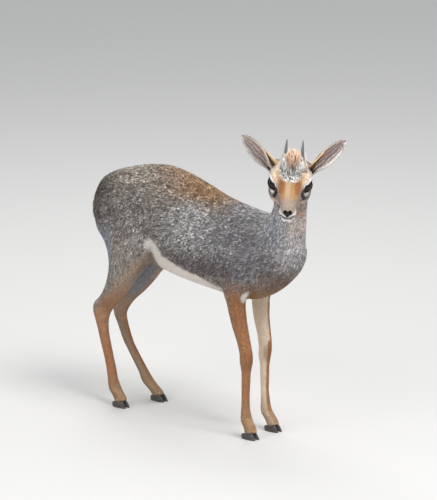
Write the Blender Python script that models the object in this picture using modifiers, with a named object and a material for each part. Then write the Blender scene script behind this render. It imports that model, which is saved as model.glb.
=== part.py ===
"""Kirk's dik-dik, a young male standing with his head turned to his right, at life size.

Metres, +Z up. The animal faces +X and its left side is +Y. The origin is on the floor, under the
middle of the whole model. The rows below are measured from a point on the floor midway between the
fore hooves, and the finished pieces are moved to the origin at the end.
"""

import math
import random

import bmesh
import bpy
import numpy as np
from mathutils import Euler, Matrix, Vector
from mathutils.bvhtree import BVHTree

# Floor point under the middle of the model, from the point between the fore hooves
MIDDLE = Vector((-0.1130, -0.0125, 0.0))

# Clearance that meeting pieces keep
GAP = 0.0003

# Trunk sections along X: place, top, bottom, half width
TRUNK = (
    (-0.363, 0.366, 0.312, 0.010),
    (-0.358, 0.379, 0.298, 0.022),
    (-0.347, 0.391, 0.284, 0.038),
    (-0.325, 0.403, 0.272, 0.049),
    (-0.290, 0.4145, 0.262, 0.055),
    (-0.250, 0.4235, 0.255, 0.0565),
    (-0.210, 0.4265, 0.250, 0.056),
    (-0.170, 0.419, 0.243, 0.0585),
    (-0.130, 0.4065, 0.2385, 0.060),
    (-0.090, 0.394, 0.2345, 0.0585),
    (-0.050, 0.387, 0.231, 0.054),
    (-0.010, 0.382, 0.232, 0.049),
    (0.030, 0.377, 0.248, 0.043),
    (0.055, 0.366, 0.267, 0.036),
    (0.074, 0.353, 0.287, 0.028),
    (0.084, 0.344, 0.303, 0.018),
    (0.0895, 0.332, 0.317, 0.006),
)

# Neck sections up Z: height, front, back, middle in Y, half width
NECK = (
    (0.300, 0.066, -0.020, 0.000, 0.038),
    (0.330, 0.084, -0.016, 0.000, 0.037),
    (0.358, 0.0900, -0.001, -0.001, 0.032),
    (0.372, 0.0910, 0.0145, -0.0010, 0.0290),
    (0.386, 0.0920, 0.0285, -0.0010, 0.0265),
    (0.410, 0.0950, 0.0385, -0.0020, 0.0268),
    (0.435, 0.0970, 0.0415, -0.0080, 0.0266),
    (0.455, 0.0960, 0.0465, -0.0130, 0.0240),
    (0.470, 0.090, 0.0560, -0.015, 0.0180),
)

# Right hind leg sections: height, front, back, middle out from the mid-plane, half width
HIND_LEG = (
    (0.395, -0.250, -0.315, 0.012, 0.014),
    (0.370, -0.226, -0.340, 0.021, 0.033),
    (0.340, -0.213, -0.347, 0.027, 0.041),
    (0.310, -0.206, -0.331, 0.032, 0.039),
    (0.285, -0.206, -0.312, 0.037, 0.033),
    (0.260, -0.224, -0.302, 0.041, 0.028),
    (0.235, -0.246, -0.303, 0.043, 0.0235),
    (0.210, -0.265, -0.313, 0.0425, 0.0190),
    (0.190, -0.283, -0.328, 0.041, 0.0150),
    (0.176, -0.299, -0.3430, 0.040, 0.0128),
    (0.165, -0.309, -0.3450, 0.0395, 0.0120),
    (0.145, -0.317, -0.3385, 0.039, 0.0105),
    (0.126, -0.3165, -0.334, 0.038, 0.0088),
    (0.106, -0.313, -0.330, 0.0365, 0.0080),
    (0.086, -0.309, -0.325, 0.035, 0.0076),
    (0.0665, -0.304, -0.321, 0.034, 0.0076),
    (0.047, -0.300, -0.317, 0.034, 0.0085),
    (0.030, -0.2935, -0.314, 0.033, 0.0105),
    (0.018, -0.283, -0.305, 0.033, 0.0098),
    (0.008, -0.277, -0.302, 0.033, 0.0095),
)

# Right fore leg sections, as for the hind leg
FORE_LEG = (
    (0.345, 0.018, -0.030, 0.018, 0.012),
    (0.320, 0.030, -0.044, 0.028, 0.020),
    (0.292, 0.030, -0.050, 0.034, 0.0205),
    (0.265, 0.013, -0.050, 0.036, 0.019),
    (0.245, -0.001, -0.047, 0.0365, 0.0165),
    (0.230, -0.0065, -0.0405, 0.036, 0.015),
    (0.210, -0.006, -0.035, 0.0355, 0.0138),
    (0.188, -0.0025, -0.0285, 0.0345, 0.0125),
    (0.161, 0.0035, -0.0185, 0.0335, 0.011),
    (0.145, 0.0065, -0.0145, 0.033, 0.0108),
    (0.132, 0.0065, -0.0145, 0.0325, 0.0106),
    (0.117, 0.0035, -0.0125, 0.032, 0.0085),
    (0.092, 0.001, -0.0125, 0.0315, 0.0074),
    (0.064, -0.0005, -0.013, 0.031, 0.0072),
    (0.045, 0.001, -0.0135, 0.031, 0.0085),
    (0.032, 0.0045, -0.0135, 0.031, 0.010),
    (0.020, 0.0125, -0.0075, 0.031, 0.0098),
    (0.008, 0.018, -0.0055, 0.031, 0.0095),
)

# How the left legs stand apart from the right ones: height, forward, out from the mid-plane
LEFT_HIND_STANCE = (
    (0.395, 0.000, 0.000),
    (0.300, 0.000, 0.000),
    (0.262, -0.004, -0.004),
    (0.229, -0.010, -0.0135),
    (0.190, -0.010, -0.0185),
    (0.165, -0.010, -0.0195),
    (0.145, -0.0135, -0.0200),
    (0.100, -0.0065, -0.0130),
    (0.060, 0.0045, -0.0030),
    (0.032, 0.0125, 0.003),
    (0.008, 0.0205, 0.007),
)
LEFT_FORE_STANCE = (
    (0.340, 0.000, 0.000),
    (0.265, -0.003, -0.003),
    (0.200, -0.010, -0.004),
    (0.130, -0.0145, -0.003),
    (0.032, -0.010, -0.001),
    (0.008, -0.005, 0.000),
)

# Hooves: middle of each foot in X, length, width of one claw, slot between the claws
HOOF_X = {"fore_right": 0.0055, "fore_left": 0.0005, "hind_right": -0.2895, "hind_left": -0.269}
HOOF_Y = {"fore_right": -0.031, "fore_left": 0.031, "hind_right": -0.033, "hind_left": 0.040}
HOOF_LENGTH = 0.0285
CLAW_WIDTH = 0.0098
CLAW_SLOT = 0.0006
# A claw narrows to the toe, gets shorter and thinner to its top and leans back
TOE_NARROWING = 0.36
CLAW_SHORTENING = 0.22
CLAW_THINNING = 0.10
CLAW_LEAN = 0.0045
# The coronet, where hair ends and horn starts, falls from toe to heel
CORONET_FRONT = 0.0135
CORONET_BACK = 0.0080
# Half size of the room kept free for a foot below its coronet
FOOT_ROOM = 0.030

# Head frame: midway between the eyes, nose along +X, left along +Y
HEAD_PLACE = Vector((0.099, -0.041, 0.450))
HEAD_YAW = math.radians(-52)
HEAD_PITCH = math.radians(28.5)
HEAD_ROLL = math.radians(-5)

# Head sections from the occiput to the nose: place, top, bottom, half width
SKULL = (
    (-0.055, 0.005, -0.010, 0.014),
    (-0.045, 0.020, -0.025, 0.024),
    (-0.030, 0.030, -0.034, 0.0305),
    (-0.015, 0.031, -0.036, 0.033),
    (0.000, 0.029, -0.034, 0.0315),
    (0.015, 0.023, -0.030, 0.0245),
    (0.030, 0.016, -0.0255, 0.0180),
    (0.045, 0.011, -0.0215, 0.0142),
    (0.060, 0.007, -0.0170, 0.0115),
    (0.071, 0.001, -0.0090, 0.0070),
)

# Soft masses of the head, each an ellipsoid on both sides: place, half sizes
HEAD_MASSES = {
    "cheek": ((-0.013, 0.0210, -0.020), (0.027, 0.0140, 0.0205)),
    "jaw": ((-0.001, 0.0125, -0.0205), (0.028, 0.0116, 0.0112)),
    "brow": ((-0.007, 0.0232, 0.0118), (0.0190, 0.0126, 0.0088)),
    "ear_root": ((-0.031, 0.0226, 0.0065), (0.0140, 0.0115, 0.0145)),
    "upper_lip": ((0.0580, 0.0062, -0.0076), (0.0125, 0.0080, 0.0078)),
    "nose_wing": ((0.0655, 0.0044, 0.0012), (0.0070, 0.0052, 0.0056)),
    "lower_lip": ((0.0550, 0.0038, -0.0180), (0.0150, 0.0070, 0.0058)),
}

# Eyes and lids
EYE_PLACE = Vector((0.0000, 0.0246, 0.0015))
EYE_RADIUS = 0.0105
EYE_LOOK = Vector((0.56, 0.81, 0.13)).normalized()
LID = 0.0014
EYE_OPENING = (0.0096, 0.0078)

# Dark slit of the scent gland in front of each eye
GLAND_PLACE = Vector((0.0195, 0.0215, -0.0035))
GLAND_SIZE = (0.0050, 0.0022, 0.0018)

# Nostrils and the line of the mouth
NOSTRIL_PLACE = Vector((0.0703, 0.0043, 0.0022))
NOSTRIL_SIZE = (0.0042, 0.0014, 0.0024)
MOUTH_FRONT = 0.0695
MOUTH_CORNER = 0.0400
MOUTH_HALF_SPAN = 0.0140
MOUTH_HEIGHT = -0.0136
MOUTH_CORNER_RISE = 0.0035
MOUTH_SLOPE = 0.10
MOUTH_WIDTH = 0.0007
MOUTH_DEPTH = 0.0030

# Crest between the horns: outer form of the tuft, and the dense hair at its roots
CREST_PLACE = Vector((-0.010, 0.0020, 0.037))
CREST_SIZE = (0.0178, 0.0172, 0.0300)
CREST_CORE_PLACE = Vector((-0.010, 0.0020, 0.029))
CREST_CORE_SIZE = (0.0162, 0.0150, 0.0175)
# Its locks: number, width and thickness near the root, sunk length, straight share, bow, spreads
LOCKS = 40
LOCK_WIDTH = 0.0052
LOCK_THICKNESS = 0.0017
LOCK_ROOT = 0.0030
LOCK_RISE = 0.45
LOCK_BOW = 0.0012
LOCK_SWAY = 0.0016
LOCK_TWIST = 0.45
# Along a lock: share of its length, share of its width, share of its thickness
LOCK_SHAPE = ((0.0, 0.75, 1.0), (0.35, 1.0, 1.0), (0.68, 0.80, 0.80), (0.88, 0.42, 0.50))
LOCK_HORN_ROOM = 0.0036
LOCK_UNEVENNESS = 0.05
CREST_SEED = 7

# Horns: root, tip, both horns' lean to the left, radii, how far they curve, shares of the length
# with a section or a ring
HORN_ROOT = Vector((-0.0135, 0.0145, 0.0235))
HORN_TIP = Vector((-0.035, 0.0130, 0.0665))
HORN_SHIFT = Vector((0.0, 0.0022, 0.0))
HORN_RADIUS = 0.0052
HORN_TIP_RADIUS = 0.0005
HORN_CURVE = 0.0022
HORN_SECTIONS = (0.0, 0.14, 0.22, 0.30, 0.38, 0.46, 0.60, 0.78, 0.92, 1.0)
HORN_RINGS = (0.22, 0.38)
HORN_RING_RELIEF = 0.0004

# Ears: root, tip, how much higher the left tip is held, half span round the shell, thickness
EAR_ROOT = Vector((-0.032, 0.0275, 0.0030))
EAR_TIP = Vector((-0.050, 0.0838, 0.0586))
EAR_TILT = Vector((-0.0018, 0.0, 0.0018))
EAR_FACING = Vector((0.93, 0.30, 0.07))
EAR_THICKNESS = 0.0013
# Along the ear: share of its length, half span round the shell, half angle that it wraps
EAR_SHELL = (
    (0.00, 0.0150, 2.75),
    (0.14, 0.0172, 2.45),
    (0.30, 0.0200, 1.85),
    (0.46, 0.0204, 1.42),
    (0.62, 0.0184, 1.18),
    (0.78, 0.0136, 1.02),
    (0.91, 0.0070, 0.90),
    (1.00, 0.0016, 0.80),
)

# Tail: points of its middle line with the radius there
TAIL = (
    ((-0.342, 0.0, 0.382), 0.0080),
    ((-0.358, 0.0, 0.370), 0.0080),
    ((-0.369, 0.0, 0.355), 0.0075),
    ((-0.376, 0.0, 0.339), 0.0066),
    ((-0.380, 0.0, 0.325), 0.0044),
    ((-0.382, 0.0, 0.317), 0.0015),
)

# Planes that part head from neck and neck from trunk
THROAT = Vector((0.091, -0.031, 0.406))
HEAD_SIDE = Vector((0.46, -0.36, 0.81)).normalized()
NECK_BASE = Vector((0.026, 0.0, 0.3485))
NECK_SIDE = Vector((0.58, 0.0, 0.81)).normalized()

# Room of a hind and of a fore leg: height, front, back, inner side out from the mid-plane
THIGH_ROOM = (
    (-0.020, -0.215, -0.370, 0.002),
    (0.200, -0.210, -0.370, 0.002),
    (0.252, -0.198, -0.368, 0.006),
    (0.280, -0.199, -0.366, 0.014),
    (0.310, -0.206, -0.361, 0.022),
    (0.340, -0.222, -0.352, 0.030),
    (0.360, -0.240, -0.338, 0.036),
    (0.374, -0.264, -0.313, 0.041),
)
ARM_ROOM = (
    (-0.020, 0.050, -0.060, 0.003),
    (0.190, 0.040, -0.062, 0.003),
    (0.224, 0.032, -0.062, 0.008),
    (0.245, 0.029, -0.060, 0.020),
    (0.268, 0.020, -0.054, 0.032),
    (0.284, 0.006, -0.040, 0.040),
    (0.292, -0.008, -0.028, 0.044),
)
OUTSIDE = 0.115

# Fused skins: grain, rounds of smoothing, triangles left
BODY_GRAIN = 0.0025
BODY_SMOOTHING = 28
BODY_TRIANGLES = 6400
HEAD_GRAIN = 0.0012
HEAD_SMOOTHING = 22
HEAD_TRIANGLES = 2800
# Height above which the head's skin holds the neck
NAPE_HEIGHT = 0.395

COAT_GREY = (0.34, 0.30, 0.26)
COAT_TAN = (0.52, 0.34, 0.20)
FACE_RUFOUS = (0.55, 0.33, 0.17)
EAR_SKIN = (0.48, 0.40, 0.37)
HORN_SLATE = (0.10, 0.10, 0.115)
HOOF_BLACK = (0.045, 0.042, 0.042)
EYE_BLACK = (0.018, 0.012, 0.010)

# Colour and roughness of each family of nodes
FINISH = {
    "torso": (COAT_GREY, 0.85),
    "neck": (COAT_GREY, 0.85),
    "head": (FACE_RUFOUS, 0.80),
    "tail": (COAT_GREY, 0.85),
    "ear": (EAR_SKIN, 0.75),
    "eye": (EYE_BLACK, 0.08),
    "horn": (HORN_SLATE, 0.40),
    "hindleg": (COAT_TAN, 0.85),
    "foreleg": (COAT_TAN, 0.85),
    "hoof": (HOOF_BLACK, 0.45),
}


# Meshes and modifiers

def as_object(bm, name):
    """Ends a bmesh as an object of the scene."""
    mesh = bpy.data.meshes.new(name)
    bm.to_mesh(mesh)
    bm.free()
    obj = bpy.data.objects.new(name, mesh)
    bpy.context.scene.collection.objects.link(obj)
    return obj


def bake(obj):
    """Makes an object's modifiers part of its mesh."""
    graph = bpy.context.evaluated_depsgraph_get()
    mesh = bpy.data.meshes.new_from_object(obj.evaluated_get(graph))
    obj.modifiers.clear()
    obj.data = mesh
    return obj


def remove(*objects):
    """Takes used-up objects out of the scene."""
    for obj in objects:
        bpy.data.objects.remove(obj, do_unlink=True)


def copy_of(obj, name):
    """A second object with a mesh of its own."""
    twin = bpy.data.objects.new(name, obj.data.copy())
    bpy.context.scene.collection.objects.link(twin)
    return twin


def move(obj, matrix):
    """Moves the mesh itself, keeping its faces pointing out under a mirror."""
    obj.data.transform(matrix)
    if matrix.determinant() < 0:
        obj.data.flip_normals()
    return obj


def grown(obj, by):
    """A copy whose surface lies further out by a distance."""
    twin = copy_of(obj, obj.name + "_grown")
    normals = [vertex.normal.copy() for vertex in twin.data.vertices]
    for vertex, normal in zip(twin.data.vertices, normals):
        vertex.co += normal * by
    return twin


def clean(obj):
    """Merges points and drops faces that are too small to matter."""
    bm = bmesh.new()
    bm.from_mesh(obj.data)
    bmesh.ops.remove_doubles(bm, verts=bm.verts, dist=0.000002)
    bmesh.ops.dissolve_degenerate(bm, edges=bm.edges, dist=0.000002)
    bmesh.ops.triangulate(bm, faces=bm.faces)
    bm.to_mesh(obj.data)
    bm.free()
    return obj


def boolean(obj, other, operation):
    """Joins, cuts or keeps the common part of two closed solids."""
    step = obj.modifiers.new(operation.lower(), "BOOLEAN")
    step.operation = operation
    step.object = other
    step.solver = "EXACT"
    return clean(bake(obj))


def part_off(body, region, name):
    """Parts a body along a region's surface: gives the piece inside it, and cuts it from the body."""
    piece = boolean(copy_of(body, name), region, "INTERSECT")
    room = grown(region, GAP * 1.5)
    boolean(body, room, "DIFFERENCE")
    remove(room, region)
    return keep_largest(piece)


def keep_largest(obj):
    """Keeps only the closed surface with the most faces."""
    bm = bmesh.new()
    bm.from_mesh(obj.data)
    unseen = set(bm.verts)
    islands = []
    while unseen:
        island = [unseen.pop()]
        for vert in island:
            for edge in vert.link_edges:
                other = edge.other_vert(vert)
                if other in unseen:
                    unseen.remove(other)
                    island.append(other)
        islands.append(island)
    islands.sort(key=len)
    scraps = [vert for island in islands[:-1] for vert in island]
    bmesh.ops.delete(bm, geom=scraps, context="VERTS")
    bm.to_mesh(obj.data)
    bm.free()
    return obj


def fuse(name, pieces, voxel):
    """One closed skin round overlapping solids, which are used up."""
    bm = bmesh.new()
    for piece in pieces:
        bm.from_mesh(piece.data)
    remove(*pieces)
    skin = as_object(bm, name)
    step = skin.modifiers.new("skin", "REMESH")
    step.mode = "VOXEL"
    step.voxel_size = voxel
    return bake(skin)


def relax(obj, rounds):
    """Evens a surface without shrinking it: each round draws the points in, then lets them out."""
    mesh = obj.data
    count = len(mesh.vertices)
    points = np.empty(count * 3)
    mesh.vertices.foreach_get("co", points)
    points = points.reshape(-1, 3)
    ends = np.empty(len(mesh.edges) * 2, dtype=np.int32)
    mesh.edges.foreach_get("vertices", ends)
    first, second = ends[0::2], ends[1::2]
    neighbours = np.bincount(ends, minlength=count)[:, None]
    for _ in range(rounds):
        for pull in (0.50, -0.53):
            total = np.empty_like(points)
            for axis in range(3):
                total[:, axis] = np.bincount(first, points[second, axis], count)
                total[:, axis] += np.bincount(second, points[first, axis], count)
            points += pull * (total / neighbours - points)
    mesh.vertices.foreach_set("co", points.ravel())
    mesh.update()
    return obj


def thin_out(obj, triangles):
    """Lowers the number of triangles, keeping the shape."""
    obj.data.calc_loop_triangles()
    step = obj.modifiers.new("thin_out", "DECIMATE")
    step.ratio = triangles / len(obj.data.loop_triangles)
    step.use_collapse_triangulate = True
    return bake(obj)


# Shapes

def spline(stations, count):
    """Rows on a smooth curve through the stations, evenly spaced by their first value."""
    rows = np.array(stations, dtype=float)
    if rows[0, 0] > rows[-1, 0]:
        rows = rows[::-1]
    at = rows[:, 0]
    slopes = np.gradient(rows, at, axis=0)
    where = np.linspace(at[0], at[-1], count)
    left = np.clip(np.searchsorted(at, where, side="right") - 1, 0, len(at) - 2)
    span = (at[left + 1] - at[left])[:, None]
    t = (where - at[left])[:, None] / span
    start = (1 + 2 * t) * (1 - t) ** 2 * rows[left] + t * (1 - t) ** 2 * span * slopes[left]
    end = t * t * (3 - 2 * t) * rows[left + 1] + t * t * (t - 1) * span * slopes[left + 1]
    return start + end


def value_at(stations, where):
    """One row of the stations, read between them in a straight line."""
    rows = np.array(stations, dtype=float)
    order = np.argsort(rows[:, 0])
    return [np.interp(where, rows[order, 0], rows[order, i]) for i in range(1, rows.shape[1])]


def oval(middle, across, up, half_across, half_up, power=2.0, sides=28):
    """Points round a rounded section that lies along two directions."""
    points = []
    for i in range(sides):
        angle = 2 * math.pi * i / sides
        c, s = math.cos(angle), math.sin(angle)
        u = math.copysign(abs(c) ** (2 / power), c) * half_across
        v = math.copysign(abs(s) ** (2 / power), s) * half_up
        points.append(Vector(middle) + Vector(across) * u + Vector(up) * v)
    return points


def loft(name, rings, point=None):
    """A closed solid through rings of points, with flat ends, or with a point as its last end."""
    bm = bmesh.new()
    rows = [[bm.verts.new(point) for point in ring] for ring in rings]
    for low, high in zip(rows, rows[1:]):
        for i in range(len(low)):
            j = (i + 1) % len(low)
            bm.faces.new((low[i], low[j], high[j], high[i]))
    bm.faces.new(rows[0])
    if point is None:
        bm.faces.new(rows[-1])
    else:
        end = bm.verts.new(point)
        for i in range(len(rows[-1])):
            bm.faces.new((rows[-1][i - 1], rows[-1][i], end))
    bmesh.ops.recalc_face_normals(bm, faces=bm.faces)
    return as_object(bm, name)


def ellipsoid(name, middle, half_sizes, turn=None, segments=24):
    """A smooth egg shape, turned about its own middle."""
    bm = bmesh.new()
    bmesh.ops.create_uvsphere(bm, u_segments=segments, v_segments=segments // 2, radius=1.0)
    matrix = Matrix.Translation(middle) @ (turn or Matrix()) @ Matrix.Diagonal((*half_sizes, 1.0))
    bmesh.ops.transform(bm, matrix=matrix, verts=bm.verts)
    return as_object(bm, name)


def mirrored(point, side):
    """A point of the animal's left side, or the same point of its right side."""
    return Vector((point[0], point[1] * side, point[2]))


# Trunk, neck and legs

def make_trunk():
    """Chest, back, belly and croup in one form."""
    rings = []
    for x, top, bottom, half in spline(TRUNK, 60):
        middle = (x, 0, (top + bottom) / 2)
        rings.append(oval(middle, (0, 1, 0), (0, 0, 1), half, (top - bottom) / 2, 2.15, 40))
    return loft("trunk", rings)


def make_neck(lowest=None):
    """The neck up into the head, or only what lies above a height."""
    rings = []
    for z, front, back, y, half in spline(NECK, 30):
        if lowest is None or z > lowest:
            middle = ((front + back) / 2, y, z)
            rings.append(oval(middle, (1, 0, 0), (0, 1, 0), (front - back) / 2, half, 2.1, 36))
    return loft("neck", rings)


def make_leg(name, stations, stance, side):
    """A leg from its root in the trunk down into the hoof."""
    rings = []
    for z, front, back, out, half in spline(stations, 70):
        forward, spread = value_at(stance, z) if stance else (0, 0)
        middle = ((front + back) / 2 + forward, side * (out + spread), z)
        rings.append(oval(middle, (1, 0, 0), (0, 1, 0), (front - back) / 2, half, 2.1, 26))
    return loft(name, rings)


def make_body():
    """Trunk, neck and legs in one skin, with the head's masses in it for a smooth throat."""
    pieces = [make_trunk(), make_neck()] + head_masses()
    pieces.append(make_leg("hind_right", HIND_LEG, None, -1))
    pieces.append(make_leg("hind_left", HIND_LEG, LEFT_HIND_STANCE, 1))
    pieces.append(make_leg("fore_right", FORE_LEG, None, -1))
    pieces.append(make_leg("fore_left", FORE_LEG, LEFT_FORE_STANCE, 1))
    body = relax(fuse("torso", pieces, BODY_GRAIN), BODY_SMOOTHING)
    return thin_out(body, BODY_TRIANGLES)


# Head

def head_matrix():
    """From the head's own frame to the animal's."""
    turn = Euler((HEAD_ROLL, HEAD_PITCH, HEAD_YAW), "XYZ").to_matrix().to_4x4()
    return Matrix.Translation(HEAD_PLACE) @ turn


def head_masses():
    """Skull, cheeks, brows, lids, lips and the roots of the ears, as overlapping solids."""
    rings = []
    for x, top, bottom, half in spline(SKULL, 40):
        middle = (x, 0, (top + bottom) / 2)
        rings.append(oval(middle, (0, 1, 0), (0, 0, 1), half, (top - bottom) / 2, 2.2, 36))
    pieces = [loft("skull", rings)]
    for side in (1, -1):
        for name, (middle, sizes) in HEAD_MASSES.items():
            pieces.append(ellipsoid(name, mirrored(middle, side), sizes))
        lid_radius = EYE_RADIUS + GAP + LID
        pieces.append(ellipsoid("lids", mirrored(EYE_PLACE, side), (lid_radius,) * 3))
    for piece in pieces:
        move(piece, head_matrix())
    return pieces


def eye_turn(side):
    """Turns Z to the way the eye looks, with X along the slit of the lids."""
    look = mirrored(EYE_LOOK, side)
    slit = Vector((1.0, 0.0, -0.25))
    slit = (slit - look * slit.dot(look)).normalized()
    return Matrix((slit, look.cross(slit), look)).transposed().to_4x4()


def cut_eyes(head):
    """Opens a socket for each eye and the slit between its lids."""
    for side in (1, -1):
        middle = mirrored(EYE_PLACE, side)
        socket = ellipsoid("socket", middle, (EYE_RADIUS + GAP,) * 3, eye_turn(side), 20)
        outside = middle + mirrored(EYE_LOOK, side) * EYE_RADIUS
        opening = ellipsoid("opening", outside, (*EYE_OPENING, 0.0070), eye_turn(side), 20)
        for cutter in (socket, opening):
            move(cutter, head_matrix())
            boolean(head, cutter, "DIFFERENCE")
        remove(socket, opening)


def cut_face(head):
    """Sinks the nostrils and the scent glands."""
    for side in (1, -1):
        lean = Euler((math.radians(28 * side), math.radians(-20), 0)).to_matrix().to_4x4()
        nostril = ellipsoid("nostril", mirrored(NOSTRIL_PLACE, side), NOSTRIL_SIZE, lean, 10)
        along = Euler((0, math.radians(24), math.radians(-28 * side))).to_matrix().to_4x4()
        gland = ellipsoid("gland", mirrored(GLAND_PLACE, side), GLAND_SIZE, along, 10)
        for cutter in (nostril, gland):
            move(cutter, head_matrix())
            boolean(head, cutter, "DIFFERENCE")
        remove(nostril, gland)


def cut_mouth(head):
    """Draws the line between the lips as a narrow groove round the muzzle."""
    rings = []
    steps = 20
    for i in range(steps + 1):
        turn = math.pi * (i / steps - 0.5)
        x = MOUTH_CORNER + (MOUTH_FRONT - MOUTH_CORNER) * math.cos(turn)
        y = MOUTH_HALF_SPAN * math.copysign(abs(math.sin(turn)) ** 0.8, turn)
        rise = MOUTH_CORNER_RISE * abs(math.sin(turn)) ** 3
        z = MOUTH_HEIGHT + rise - MOUTH_SLOPE * (MOUTH_FRONT - x)
        out = Vector((math.cos(turn), math.sin(turn) * 1.6, 0)).normalized()
        inner = Vector((x, y, z)) - out * MOUTH_DEPTH
        outer = Vector((x, y, z)) + out * 0.004
        half = Vector((0, 0, MOUTH_WIDTH / 2))
        rings.append([inner - half, outer - half, outer + half, inner + half])
    groove = move(loft("groove", rings), head_matrix())
    boolean(head, groove, "DIFFERENCE")
    remove(groove)


def make_head():
    """Head with its upper neck, before it is parted from the neck."""
    pieces = head_masses() + [make_neck(NAPE_HEIGHT)]
    core = ellipsoid("crest_core", CREST_CORE_PLACE, CREST_CORE_SIZE)
    pieces.append(move(core, head_matrix()))
    head = relax(fuse("head", pieces, HEAD_GRAIN), HEAD_SMOOTHING)
    return join_locks(thin_out(head, HEAD_TRIANGLES))


def horn_ends(side):
    """Root and tip of a horn."""
    return mirrored(HORN_ROOT, side) + HORN_SHIFT, mirrored(HORN_TIP, side) + HORN_SHIFT


def clear_of_horns(point):
    """A point of the crest, moved out of a horn's way where it lies too near."""
    for side in (1, -1):
        root, tip = horn_ends(side)
        axis = tip - root
        share = min(max((point - root).dot(axis) / axis.length_squared, 0.0), 1.0)
        away = point - root.lerp(tip, share)
        room = HORN_RADIUS * (1 - share) ** 0.72 + LOCK_HORN_ROOM
        if away.length < room:
            point = point + away.normalized() * (room - away.length)
    return point


def make_lock(name, root, tip, outward, twist):
    """A flat tapered lock that rises from its root and bends out to its tip."""
    knee = root + Vector((0, 0, (tip - root).length * LOCK_RISE)) + outward * LOCK_BOW
    rings = []
    for share, width, thickness in LOCK_SHAPE:
        middle = root.lerp(knee, share).lerp(knee.lerp(tip, share), share)
        middle = clear_of_horns(middle)
        along = (knee - root).lerp(tip - knee, share).normalized()
        across = Matrix.Rotation(twist * share, 3, along) @ along.cross(outward).normalized()
        out = across.cross(along)
        wide = across * LOCK_WIDTH * width / 2
        thick = out * LOCK_THICKNESS * thickness / 2
        rings.append([middle - wide, middle - thick, middle + wide, middle + thick])
    return clean(loft(name, rings, clear_of_horns(tip)))


def join_locks(head):
    """Sets the crest's locks on the head, spread evenly over the tuft, and joins them to it."""
    draw = random.Random(CREST_SEED)
    tree = BVHTree.FromObject(head, bpy.context.evaluated_depsgraph_get())
    place = head_matrix()
    up = place.to_3x3() @ Vector((0, 0, 1))
    crest = bpy.data.collections.new("crest")
    bpy.context.scene.collection.children.link(crest)
    for i in range(LOCKS):
        reach = math.sqrt((i + 0.5) / LOCKS)
        turn = i * math.pi * (3 - math.sqrt(5)) + draw.uniform(-0.15, 0.15)
        round_way = Vector((math.cos(turn), math.sin(turn), 0))
        above = CREST_CORE_PLACE.copy()
        above.x += round_way.x * reach * CREST_CORE_SIZE[0]
        above.y += round_way.y * reach * CREST_CORE_SIZE[1]
        above.z += 0.1
        hit = tree.ray_cast(place @ above, -up)[0]
        root = place.inverted() @ hit - Vector((0, 0, LOCK_ROOT))
        height = math.sqrt(1 - 0.80 * reach ** 4) - draw.uniform(0, LOCK_UNEVENNESS)
        tip = CREST_PLACE.copy()
        tip.x += round_way.x * reach * CREST_SIZE[0] + draw.uniform(-LOCK_SWAY, LOCK_SWAY)
        tip.y += round_way.y * reach * CREST_SIZE[1] + draw.uniform(-LOCK_SWAY, LOCK_SWAY)
        tip.z += height * CREST_SIZE[2]
        outward = round_way if reach > 0.2 else Vector((1, 0, 0))
        lock = make_lock("lock", root, tip, outward, draw.uniform(-LOCK_TWIST, LOCK_TWIST))
        move(lock, place)
        bpy.context.scene.collection.objects.unlink(lock)
        crest.objects.link(lock)
    step = head.modifiers.new("crest", "BOOLEAN")
    step.operation = "UNION"
    step.operand_type = "COLLECTION"
    step.collection = crest
    step.solver = "EXACT"
    clean(bake(head))
    remove(*crest.objects)
    bpy.data.collections.remove(crest)
    return keep_largest(head)


def make_eye(side, name):
    """An eyeball in its socket."""
    eye = ellipsoid(name, mirrored(EYE_PLACE, side), (EYE_RADIUS,) * 3, eye_turn(side), 16)
    return move(eye, head_matrix())


def make_horn(side, name):
    """A short straight horn with growth rings near its root."""
    root, tip = horn_ends(side)
    axis = (tip - root).normalized()
    across = axis.cross(Vector((1, 0, 0))).normalized()
    rings = []
    for share in HORN_SECTIONS:
        radius = HORN_RADIUS * (1 - share) ** 0.72 + HORN_TIP_RADIUS
        if share in HORN_RINGS:
            radius += HORN_RING_RELIEF
        middle = root.lerp(tip, share)
        middle.x += HORN_CURVE * math.sin(math.pi * share)
        rings.append(oval(middle, across, across.cross(axis), radius, radius, 2, 8))
    return move(loft(name, rings), head_matrix())


def make_ear(side, name):
    """The cup of an ear: a shell rolled at its root that opens out and ends in a point."""
    root, tip = mirrored(EAR_ROOT, side), mirrored(EAR_TIP, side) + EAR_TILT * side
    axis = (tip - root).normalized()
    facing = mirrored(EAR_FACING, side)
    facing = (facing - axis * facing.dot(axis)).normalized()
    across = axis.cross(facing)
    bm = bmesh.new()
    rows = []
    for share, span, wrap in spline(EAR_SHELL, 12):
        radius = span / wrap
        back = root.lerp(tip, share) - facing * 0.006 * math.sin(math.pi * share)
        row = []
        for j in range(9):
            angle = wrap * (j / 4 - 1)
            place = across * math.sin(angle) + facing * (1 - math.cos(angle))
            row.append(bm.verts.new(back + place * radius))
        rows.append(row)
    for low, high in zip(rows, rows[1:]):
        for j in range(8):
            bm.faces.new((low[j], low[j + 1], high[j + 1], high[j]))
    bmesh.ops.recalc_face_normals(bm, faces=bm.faces)
    ear = as_object(bm, name)
    shell = ear.modifiers.new("shell", "SOLIDIFY")
    shell.thickness = EAR_THICKNESS
    shell.offset = 0
    return move(bake(ear), head_matrix())


# Tail and hooves

def make_tail():
    """A short tail that hangs close to the rump."""
    rings = []
    for i, (place, radius) in enumerate(TAIL):
        before = Vector(TAIL[max(i - 1, 0)][0])
        after = Vector(TAIL[min(i + 1, len(TAIL) - 1)][0])
        along = (after - before).normalized()
        across = Vector((0, 1, 0))
        rings.append(oval(place, across, across.cross(along), radius * 1.15, radius, 2, 12))
    return loft("tail", rings)


def coronet(share):
    """Height of the coronet at a share of the hoof's length from heel to toe."""
    return CORONET_BACK + (CORONET_FRONT - CORONET_BACK) * share


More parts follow.
